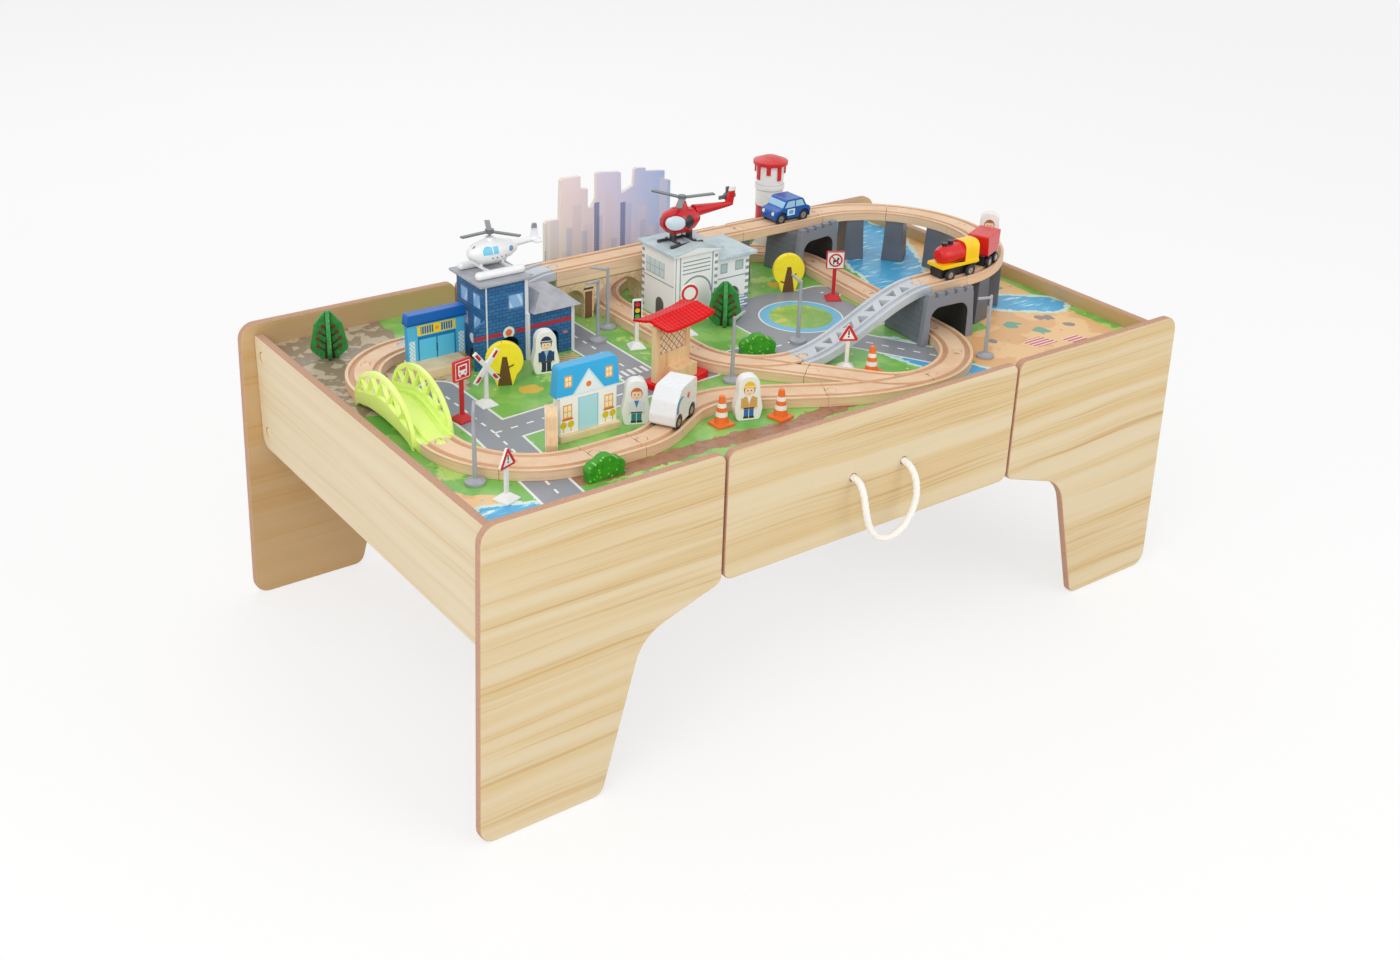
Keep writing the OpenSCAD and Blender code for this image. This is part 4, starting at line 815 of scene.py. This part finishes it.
def islands(node):
    """The separate solids of a node, each a merged mesh of its own."""
    whole = merged(node)
    whole.verts.index_update()
    done, parts = set(), []
    for seed in whole.verts:
        if seed.index in done:
            continue
        group, front = {seed.index}, [seed]
        while front:
            for v in (v for edge in front.pop().link_edges for v in edge.verts if v.index not in group):
                group.add(v.index)
                front.append(v)
        done |= group
        part = whole.copy()
        part.verts.index_update()
        bmesh.ops.delete(part, geom=[v for v in part.verts if v.index not in group], context="VERTS")
        parts.append(part)
    whole.free()
    return parts


def dress_each(node, frames, paint, width):
    """Each solid of a node becomes a piece that is printed in the frame of its own place."""
    for number, part in enumerate(islands(node)):
        centre = sum((v.co for v in part.verts), Vector()) / len(part.verts) / MM
        nearest = min(range(len(frames)), key=lambda i: (Vector(frames[i][:2]) - centre.xy).length)
        name = f"{node}_{number + 1}"
        material = finish(name, lambda p: paint(p, nearest), frames[nearest])
        evened(keep(name, eased(part, width), material, node))


def tram_stop(x, z, flat):
    line = panes(x, z, (0, 59, 10, 10)) & ~panes(x, z, (0, 59, 8.9, 8.9))
    return [(line, ink(246, 206, 204)), (panes(x, z, (0, 59.5, 6, 5.6)), SIGN_WHITE),
            (panes(x, z, (0, 61.4, 4.4, 2.2)) | flat.discs(1.1, (-3.6, 56), (3.6, 56)), SIGN_RED),
            (panes(x, z, (-3.8, 53, 1.2, 1.2), (3.8, 53, 1.2, 1.2)), SIGN_WHITE)]


def rail_crossing(x, z, flat):
    along = abs(abs(x) * 0.788 - abs(z - 46) * 0.616) < 1.7
    return [(flat.disc(0, 46, 21) & ~flat.disc(0, 46, 12.5) & along, SIGN_RED)]


def warning(x, z, flat):
    inner = (abs(x) < (58 - z) * 0.568 - 3.8) & (z > 38.6)
    return [(z > 35.5, SIGN_RED), (inner, SIGN_WHITE),
            (panes(x, z, (0, 46.4, 0.9, 3)) | flat.disc(0, 41.4, 1.1), SIGN_BLACK)]


def ban(x, z, flat):
    beast = (panes(x, z, (0, 53, 3.4, 1.6), (-2.4, 51, 0.8, 2.4), (2.4, 51, 0.8, 2.4))
             | flat.disc(3.2, 56, 1.6))
    return [(panes(x, z, (0, 54, 10.6, 10.6)), SIGN_WHITE), (flat.disc(0, 54, 9), SIGN_RED),
            (flat.disc(0, 54, 6.8), SIGN_WHITE), (beast, SIGN_BLACK),
            ((abs(x + z - 54) < 1.3) & flat.disc(0, 54, 8), SIGN_RED)]


def no_entry(x, z, flat):
    return [(flat.disc(0, 54, 11.2), SIGN_RED), (flat.disc(0, 54, 8), SIGN_WHITE)]


def signal_light(x, z, flat):
    return [(panes(x, z, (0, 48, 4.6, 12)), SIGN_BLACK), (flat.disc(0, 55.5, 2.9), ink(222, 48, 40)),
            (flat.disc(0, 48, 2.9), ink(244, 200, 40)), (flat.disc(0, 40.5, 2.9), ink(70, 176, 80))]


signs = [((-365, -23, BOARD_TOP, 12), tram_stop, True), ((-325, -4, BOARD_TOP, 0), rail_crossing, False),
         ((-415, -204, BOARD_TOP, 20), warning, False), ((76, -140, BOARD_TOP, -30), warning, False),
         ((210, 41, BOARD_TOP, -30), ban, True), ((-20, 44, BOARD_TOP, -10), no_entry, False),
         ((-96, 43, BOARD_TOP, -20), signal_light, False)]


def sign_print(p, number):
    _, mark, is_red = signs[number]
    x, y, z = p.split()
    skin, front = p.noise(0.7, 3), (y < -2.6) & (z > 30)
    body, shade = (SIGN_RED, ink(180, 28, 34)) if is_red else (SIGN_WHITE, ink(222, 222, 220))
    marks = [(front & mask, colour) for mask, colour in mark(x, z, sheet(x, z))]
    return {"Base Color": cover(body, (skin.step(0.5, 0.8, 0.5), shade), *marks),
            "Roughness": 0.32 + 0.12 * skin}


dress_each("road_signs", [spot for spot, mark, is_red in signs], sign_print, 0.35)


# Traffic cones: turned wood on square feet, painted orange with two white bands. They stand
# loose on the board.
def cone_bands(p):
    x, y, z = p.split()
    skin, bands = p.noise(0.3, 4), z.near(13.5, 2.6) | z.near(23.5, 2.4)
    colour = cover(ink(240, 116, 44), (skin.step(0.5, 0.75, 0.6), ink(228, 98, 32)),
                   (bands, ink(240, 238, 232)))
    return {"Base Color": colour, "Roughness": 0.34 + 0.14 * skin, "Height": (skin, 0.00008)}


dress("traffic_cones", finish("cone_bands", cone_bands, (0, 0, BOARD_TOP)), 0.5)


# Trees and bushes: cut boards, printed all over. A green tree is two boards slotted crosswise; the
# round yellow ones and the bushes are single thick boards with a printed trunk or light dots.
def tree_print(p, number):
    x, y, z = p.split()
    reach, blot = abs(x) | abs(y), p.noise(0.16, 3)
    trunk = (reach < 6 - z * 0.1) & (z < 46)
    boughs = ((6, 12), (15, 12.5), (25, 9.5), (35, 6))
    twigs = any_of((z - reach * 0.8).near(low, 1.3) & (reach < out) for low, out in boughs)
    tips = sheet(reach, z).discs(2.7, *((out, low + out * 0.8) for low, out in boughs))
    colour = cover(ink(46, 142, 62), (blot.step(0.45, 0.6, 0.8), ink(34, 120, 52)),
                   (p.cells(0.2) < 0.2, ink(78, 168, 76)),
                   (twigs | trunk, ink(46, 40, 26)), (tips, ink(104, 62, 32)))
    return {"Base Color": colour, "Roughness": 0.42 + 0.16 * blot}


def round_tree_print(p, number):
    x, y, z = p.split()
    dots, blot = sheet(x, z).cells(0.24), p.noise(0.1, 3)
    trunk = (abs(x) < 8.2 - z * 0.16) & (z < 35)
    forks = ((z - x * 0.5).near(20, 1.1) & x.near(6, 4)) | ((z + x * 0.4).near(11, 1.1) & x.near(-8, 3))
    colour = cover(ink(255, 234, 48), (blot.step(0.5, 0.7, 0.4), ink(250, 218, 32)),
                   (dots < 0.1, ink(206, 158, 50)),
                   ((trunk | forks) & (abs(y) > 3.4), ink(106, 70, 36)))
    return {"Base Color": colour, "Roughness": 0.4 + 0.12 * blot}


def bush_print(p, number):
    dots, blot = (p * (1.0, 0.2, 1.0)).cells(0.19), p.noise(0.12, 3)
    colour = cover(ink(56, 156, 30), (blot.step(0.45, 0.65), ink(40, 134, 24)),
                   (dots < 0.22, ink(146, 210, 72)))
    return {"Base Color": colour, "Roughness": 0.42 + 0.14 * blot}


dress_each("tree_boards", [(-413, 205, BOARD_TOP, -23), (35, 43, BOARD_TOP, -35)],
           tree_print, 0.5)
dress_each("round_trees", [(-281, 33, BOARD_TOP, -25), (177, 94, BOARD_TOP, -25)],
           round_tree_print, 0.6)
dress_each("bushes", [(-310, -216, BOARD_TOP, 0), (14, -50, BOARD_TOP, -20)], bush_print, 0.7)


# Figures: thick rounded beech boards, painted white and printed with plain town people: an
# officer, a doctor, a builder and two passers-by. One has bare wood round its edge.
SKIN, BARE = ink(250, 214, 184), 3
figure_frames = [(-225, 39, BOARD_TOP, -15), (-213, -128, BOARD_TOP, -25), (-105, -184, BOARD_TOP, -20),
                 (-325, -139, BOARD_TOP, 60), (374, -66, UPPER_TOP, -47)]
hairs = ink(60, 42, 34), ink(206, 112, 50), ink(110, 70, 40), ink(70, 50, 40), ink(150, 110, 70)
caps = ink(24, 48, 96), None, ink(244, 196, 40), None, None
coats = ink(28, 62, 116), ink(226, 230, 234), ink(214, 164, 96), ink(30, 50, 92), ink(196, 80, 76)
shirts = ink(150, 190, 226), ink(70, 130, 196), ink(240, 240, 236), ink(232, 234, 236), ink(240, 226, 190)
trousers = ink(20, 40, 80), ink(54, 134, 140), ink(48, 106, 186), ink(30, 44, 78), ink(92, 104, 130)


def figure_print(p, number):
    x, y, z = p.split()
    x, z = x * 1.22, (z - 1.5) * 1.1
    flat, side, front = sheet(x, z), abs(x), y < 0
    coat, cap = coats[number], caps[number]
    grain = (p * (0.25, 0.25, 0.03)).noise(1.0, 3)
    torso = panes(x, z, (0, 21.5, 7.6, 8)) | flat.discs(3.6, (-5, 26.5), (5, 26.5))
    collar = (side < (z - 20) * 0.34) & z.near(25, 5) & front
    smile = flat.disc(0, 35, 2.2) & ~flat.disc(0, 35.9, 2.5) & front
    layers = [(side.near(3.6, 3.2) & z.near(8.5, 5.5), trousers[number]),
              (side.near(3.9, 3.6) & z.near(2.6, 1.4), ink(60, 48, 44)),
              (side.near(9.4, 2) & z.near(21, 7), coat), (flat.discs(1.9, (-9.4, 13.6), (9.4, 13.6)), SKIN),
              (torso, coat), (torso & panes(x, z, (0, 14.6, 8, 0.9)), ink(70, 60, 56)),
              (collar, shirts[number]),
              (flat.discs(0.7, (0, 17), (0, 20)) & front, ink(240, 220, 150)),
              (flat.disc(0, 38.4, 7.9), hairs[number]),
              (flat.disc(0, 37, 6.8) & (front | (z < 35)) & (z < 41.4), SKIN),
              (flat.discs(0.85, (-2.4, 37.4), (2.4, 37.4)) & front, ink(46, 34, 30)),
              (smile, ink(190, 84, 74))]
    if cap:
        layers += [((flat.disc(0, 41, 8.2) & (z > 41)) | panes(x, z, (0, 41.4, 8.8, 0.9)), cap),
                   (panes(x, z, (0, 42.6, 7.6, 0.5)), ink(230, 230, 226))]
    white = cover(ink(240, 239, 235), (p.noise(0.2, 3).step(0.5, 0.8, 0.4), ink(228, 227, 222)))
    wood = grain.ramp((0.35, ink(238, 210, 170)), (0.7, ink(222, 186, 140)))
    colour = cover(wood if number == BARE else white, (abs(y) > 5.9, cover(white, *layers)))
    return {"Base Color": colour, "Roughness": 0.36 + 0.16 * grain}


dress_each("peg_figures", figure_frames, figure_print, 0.9)


# Locomotive and wagon: painted wood blocks on black chassis. The loco has a red domed boiler, a
# yellow cab and running board and two black knobs; the wagon is a red tapered box. Steel-capped
# magnets couple them.
LOCO, WAGON, CHASSIS_TOP = (275, -104, UPPER_TOP, 180), (338.4, -92, UPPER_TOP, 204), 13.6
TOY_BLACK, TOY_RED = ink(40, 40, 43), ink(214, 32, 34)
TOY_YELLOW, STEEL = ink(252, 206, 20), ink(190, 192, 196)
varnish = {"coat_weight": 0.2, "coat_roughness": 0.12, "specular_ior_level": 0.3}


def lacquer(p, colour):
    """What all toy paint has: a faint cloud in its colour and a little orange peel."""
    cloud, peel = p.noise(0.12, 3), p.noise(0.8, 2)
    return {"Base Color": cover(colour, (cloud.step(0.5, 0.85, 0.12), ink(40, 40, 48))),
            "Roughness": 0.2 + 0.14 * cloud, "Height": (peel, 0.00005)}


def loco_paint(p):
    x, y, z = p.split()
    top = p * (1.0, 1.0, 0.0)
    cab = (x < -8) & (z > 17.6)
    knobs = (top.disc(18, 0, 4.2) & (z > 38.9)) | (top.disc(8, 0, 4.2) & (z > 39.3))
    colour = cover(TOY_RED, (z.near(15.8, 2.3) | cab, TOY_YELLOW), (knobs | (z < CHASSIS_TOP), TOY_BLACK),
                   ((x < -29.2) & (z < CHASSIS_TOP), STEEL))
    return lacquer(p, colour)


def wagon_paint(p):
    x, y, z = p.split()
    colour = cover(TOY_RED, (z.near(14.6, 0.7), ink(150, 20, 26)), (z < CHASSIS_TOP, TOY_BLACK),
                   ((x > 23) & (z < CHASSIS_TOP), STEEL))
    return lacquer(p, colour)


dress("loco_body", finish("loco_paint", loco_paint, LOCO, **varnish), 0.6)
dress("wagon_body", finish("wagon_paint", wagon_paint, WAGON, **varnish), 0.8)


# Car and ambulance: shaped wood blocks, lacquered, with printed windows, lamps and doors.
# The car has a plain pale patch on each door, the ambulance a round one.
CAR, AMBULANCE = (232, 172, UPPER_TOP, 180), (-187.8, -161.6, TRACK_TOP, 211)
CAR_BLUE, CAR_GLASS = ink(14, 90, 178), ink(168, 212, 240)


def car_paint(p):
    x, y, z = p.split()
    side, end, slope = abs(y) > 15.4, sheet(abs(y), z), (z - 19) * 0.58
    cabin = (z < 28.6) & (z > 20) & (x < 15.4 - slope) & (x > -19.6 + slope)
    screens = ~side & (z > 20.4) & (z < 28) & ((x > 11) | (x < -15))
    doors = side & (x.near(-3, 0.4) | x.near(11.5, 0.4)) & (z > 7) & (z < 20)
    patch = side & panes(x, z, (3.6, 13.4, 6.4, 4.4))
    colour = cover(CAR_BLUE, (side & cabin, CAR_GLASS), (side & x.near(-3, 0.9) & (z > 19), CAR_BLUE),
                   (screens, CAR_GLASS), (doors, ink(16, 56, 126)), (patch, ink(224, 240, 248)),
                   (patch & panes(x, z, (3.6, 13.4, 3.8, 2.4)), ink(70, 180, 220)),
                   ((x > 28.6) & end.disc(10, 13, 2.6), ink(250, 244, 214)),
                   ((x < -28) & end.disc(10.5, 13, 2.4), ink(206, 40, 40)), (z < 5, TOY_BLACK))
    return lacquer(p, colour)


def ambulance_paint(p):
    x, y, z = p.split()
    side, flat = abs(y) > 14.4, sheet(x, z)
    window = side & flat.disc(13, 21, 12) & ~flat.disc(8, 20, 10.5) & (z > 16)
    colour = cover(ink(230, 231, 233), (p.noise(0.1, 3).step(0.5, 0.8, 0.15), ink(216, 218, 221)),
                   (window, ink(74, 150, 202)), (side & flat.disc(-6, 28, 3.4), ink(214, 96, 70)),
                   (side & x.near(-20, 0.3) & (z > 8) & (z < 38), ink(206, 209, 213)))
    return lacquer(p, colour) | {"Base Color": colour}


car_gloss = finish("car_paint", car_paint, CAR, **varnish | {"coat_weight": 0.25})
ambulance_gloss = finish("ambulance_paint", ambulance_paint, AMBULANCE, coat_weight=0.4,
                         coat_roughness=0.15)
dress("car_body", car_gloss, 0.7, segments=3)
dress("ambulance_body", ambulance_gloss, 0.7, segments=3)


# Wheel sets: two black plastic wheels on a steel axle, with bright hub caps pressed in. Each
# axle turns in a bore through its chassis.
def wheel_set(node, turn, radius):
    low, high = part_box(node)
    axle = (low + high) / 2 / MM

    def paint(p):
        ring = p.node("VectorMath", {0: p * (1.0, 0.0, 1.0)}, out=1, operation="LENGTH")
        hub, scuff = ring < radius * 0.52, p.noise(0.9, 3)
        colour = cover(ink(36, 36, 39), (scuff.step(0.5, 0.8, 0.5), ink(58, 58, 62)),
                       (hub, ink(198, 199, 203)),
                       (ring.near(radius * 0.4, 0.3), ink(120, 122, 126)),
                       (ring < radius * 0.14, ink(90, 92, 96)))
        return {"Base Color": colour, "Roughness": 0.42 + 0.15 * scuff - 0.14 * hub, "Metallic": hub * 0.85}
    dress(node, finish(node, paint, (*axle, turn)), 0.5, node)


for vehicle, spot, radius in (("loco", LOCO, 7.5), ("wagon", WAGON, 7.5), ("car", CAR, 8),
                              ("ambulance", AMBULANCE, 8)):
    for end in ("front", "rear"):
        wheel_set(f"{vehicle}_{end}_wheels", spot[3], radius)


# Helicopters: moulded plastic shells on a tower roof and on the station roof. One is white on
# floats, the other red on skids. Grey rotors turn on their masts, and one more on the red tail.
WHITE_HELI, RED_HELI = (-250, 116, 430, 180), (14, 110, 419, 180)


def white_shell(p):
    x, y, z = p.split()
    flat, skin, half = sheet(x, z), p.noise(0.5, 3), abs(y)
    cheek = (half > 3) & (half < 16)
    glass = cheek & (flat.disc(9, 28, 6.5) | panes(x, z, (3, 29, 7, 4.4))) & (z > 25) & ~x.near(3.5, 0.6)
    slits = panes(x, y, (22, 3.2, 1.6, 0.8), (22, -3.2, 1.6, 0.8)) & (z > 27)
    ports = flat.discs(1, (-2, 20.5), (-8, 20.5), (-14, 20.5), (4, 20.5)) & cheek
    colour = cover(ink(240, 241, 242), (skin.step(0.5, 0.8, 0.4), ink(226, 228, 230)),
                   (glass, ink(112, 200, 234)),
                   (slits | ports, ink(70, 78, 88)),
                   (flat.disc(-22, 27, 3.2) & (half < 12), ink(96, 150, 196)),
                   ((x < -53) & (z > 40), ink(214, 230, 240)), (z > 42.4, ink(140, 144, 148)))
    return {"Base Color": colour, "Roughness": 0.26 + 0.1 * skin, "Height": (skin, 0.00004)}


def red_shell(p):
    x, y, z = p.split()
    nose, door = sheet((x - 17) * 0.8, z), sheet((x + 1) * 1.15, z)
    skin, half = p.noise(0.5, 3), abs(y)
    shell = half < 18
    colour = cover(ink(208, 26, 34), (skin.step(0.5, 0.8, 0.4), ink(186, 18, 28)),
                   (shell & nose.disc(0, 31, 10.4) & (half > 2), ink(160, 14, 24)),
                   (shell & nose.disc(0, 31, 9) & (half > 2.4), ink(206, 224, 234)),
                   # Door: a near-black patch on each side, painted shade in the cut-out door opening.
                   (shell & door.disc(0, 31, 8.4) & (half > 9), ink(52, 48, 52)),
                   (z < 13.4, ink(52, 54, 58)),
                   (z > 54.4, ink(130, 134, 138)), ((x < -70) & (z > 55), ink(236, 236, 236)))
    return {"Base Color": colour, "Roughness": 0.2 + 0.1 * skin, "Height": (skin, 0.00004)}


white_gloss = finish("white_shell", white_shell, WHITE_HELI, coat_weight=0.3, coat_roughness=0.1)
red_gloss = finish("red_shell", red_shell, RED_HELI, coat_weight=0.3, coat_roughness=0.08,
                   specular_ior_level=0.35)
rotor_grey = moulded("rotor_plastic", ink(108, 116, 117), ink(90, 98, 100), roughness=0.36)
dress("white_heli_body", white_gloss, 0.5)
dress("red_heli_body", red_gloss, 0.5)
for node in ("white_heli_rotor", "red_heli_rotor", "red_heli_tail_rotor"):
    dress(node, rotor_grey, 0.35, node)


# Floor and light: a plain pale studio. One large soft lamp stands high on the left, a weaker
# one on the right and one behind, and the rest of the light comes from all round.
FLOOR_WHITE, FLOOR_HALF, WORLD_LIGHT = 0.68, 12, 0.7
lamps = (("key_lamp", (-2.1, -1.4, 2.3), 2.2, 37), ("fill_lamp", (1.1, -2.5, 1.5), 2.0, 18),
         ("back_lamp", (0.6, 2.4, 2.2), 2.4, 10))


def studio_floor(p):
    return {"Base Color": p.noise(0.002).ramp((0, ink(247, 247, 247)), (1, ink(250, 250, 250)))}


def looked_at(w):
    """1 where the camera, a mirror or glass looks straight at a thing, and 0 for its light on others."""
    rays = "Is Camera Ray", "Is Glossy Ray", "Is Transmission Ray"
    return any_of(w.node("LightPath", {}, out=ray) for ray in rays)


floor_mesh = bmesh.new()
bmesh.ops.create_grid(floor_mesh, x_segments=2, y_segments=2, size=FLOOR_HALF)
floor_paint = finish("studio_floor", studio_floor, roughness=0.85, specular_ior_level=0.2)
floor_wire = Wire(floor_paint.node_tree)
floor_out = floor_paint.node_tree.nodes["Material Output"].inputs["Surface"]
floor_lit = Wire(floor_paint.node_tree, floor_out.links[0].from_socket)
floor_glow = floor_wire.node("Emission", {"Color": (1, 1, 1, 1), "Strength": 1.0})
whitened = floor_wire.node("MixShader",
                           {0: looked_at(floor_wire) * FLOOR_WHITE, 1: floor_lit, 2: floor_glow})
floor_paint.node_tree.links.new(whitened.socket, floor_out)
floor = placed("floor", floor_mesh, floor_paint)
floor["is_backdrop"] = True

world = bpy.data.worlds.new("studio")
bpy.context.scene.world = world
world.use_nodes = True
sky_light = world.node_tree.nodes["Background"].inputs
sky_light["Color"].default_value = (1, 1, 1, 1)
strength = looked_at(Wire(world.node_tree)) * (1 - WORLD_LIGHT) + WORLD_LIGHT
world.node_tree.links.new(strength.socket, sky_light["Strength"])
for name, place, size, power in lamps:
    lamp = bpy.data.objects.new(name, bpy.data.lights.new(name, "AREA"))
    lamp.data.size, lamp.data.energy = size, power
    lamp.location = place
    lamp.rotation_euler = (Vector((0, 0, 0.3)) - lamp.location).to_track_quat("-Z", "Y").to_euler()
    bpy.context.scene.collection.objects.link(lamp)


# Camera: it stands in front of the drawer side, off to the left and well above the rim, rolled
# by a hair. The shift puts the table where the picture has it.
AZIMUTH, ELEVATION, ROLL = radians(-37.84), radians(24.09), 0.0395
FOCAL_PIXELS, PICTURE_WIDTH = 1609.44, 1400
camera = bpy.data.objects.new("camera", bpy.data.cameras.new("camera"))
bpy.context.scene.collection.objects.link(camera)
camera.data.sensor_width = 36
camera.data.lens = camera.data.sensor_width * FOCAL_PIXELS / PICTURE_WIDTH
camera.data.shift_x, camera.data.shift_y = -0.0173, -0.0708
back = Vector((sin(AZIMUTH) * cos(ELEVATION), -cos(AZIMUTH) * cos(ELEVATION), sin(ELEVATION)))
level = Vector((cos(AZIMUTH), sin(AZIMUTH), 0))
above = back.cross(level)
right = cos(ROLL) * level + sin(ROLL) * above
upward = cos(ROLL) * above - sin(ROLL) * level
camera.matrix_world = Matrix((right, upward, back)).transposed().to_4x4()
camera.location = (-1.0966, -1.4184, 1.0779)
bpy.context.scene.camera = camera
bpy.context.scene.view_settings.view_transform = "Standard"

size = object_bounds()
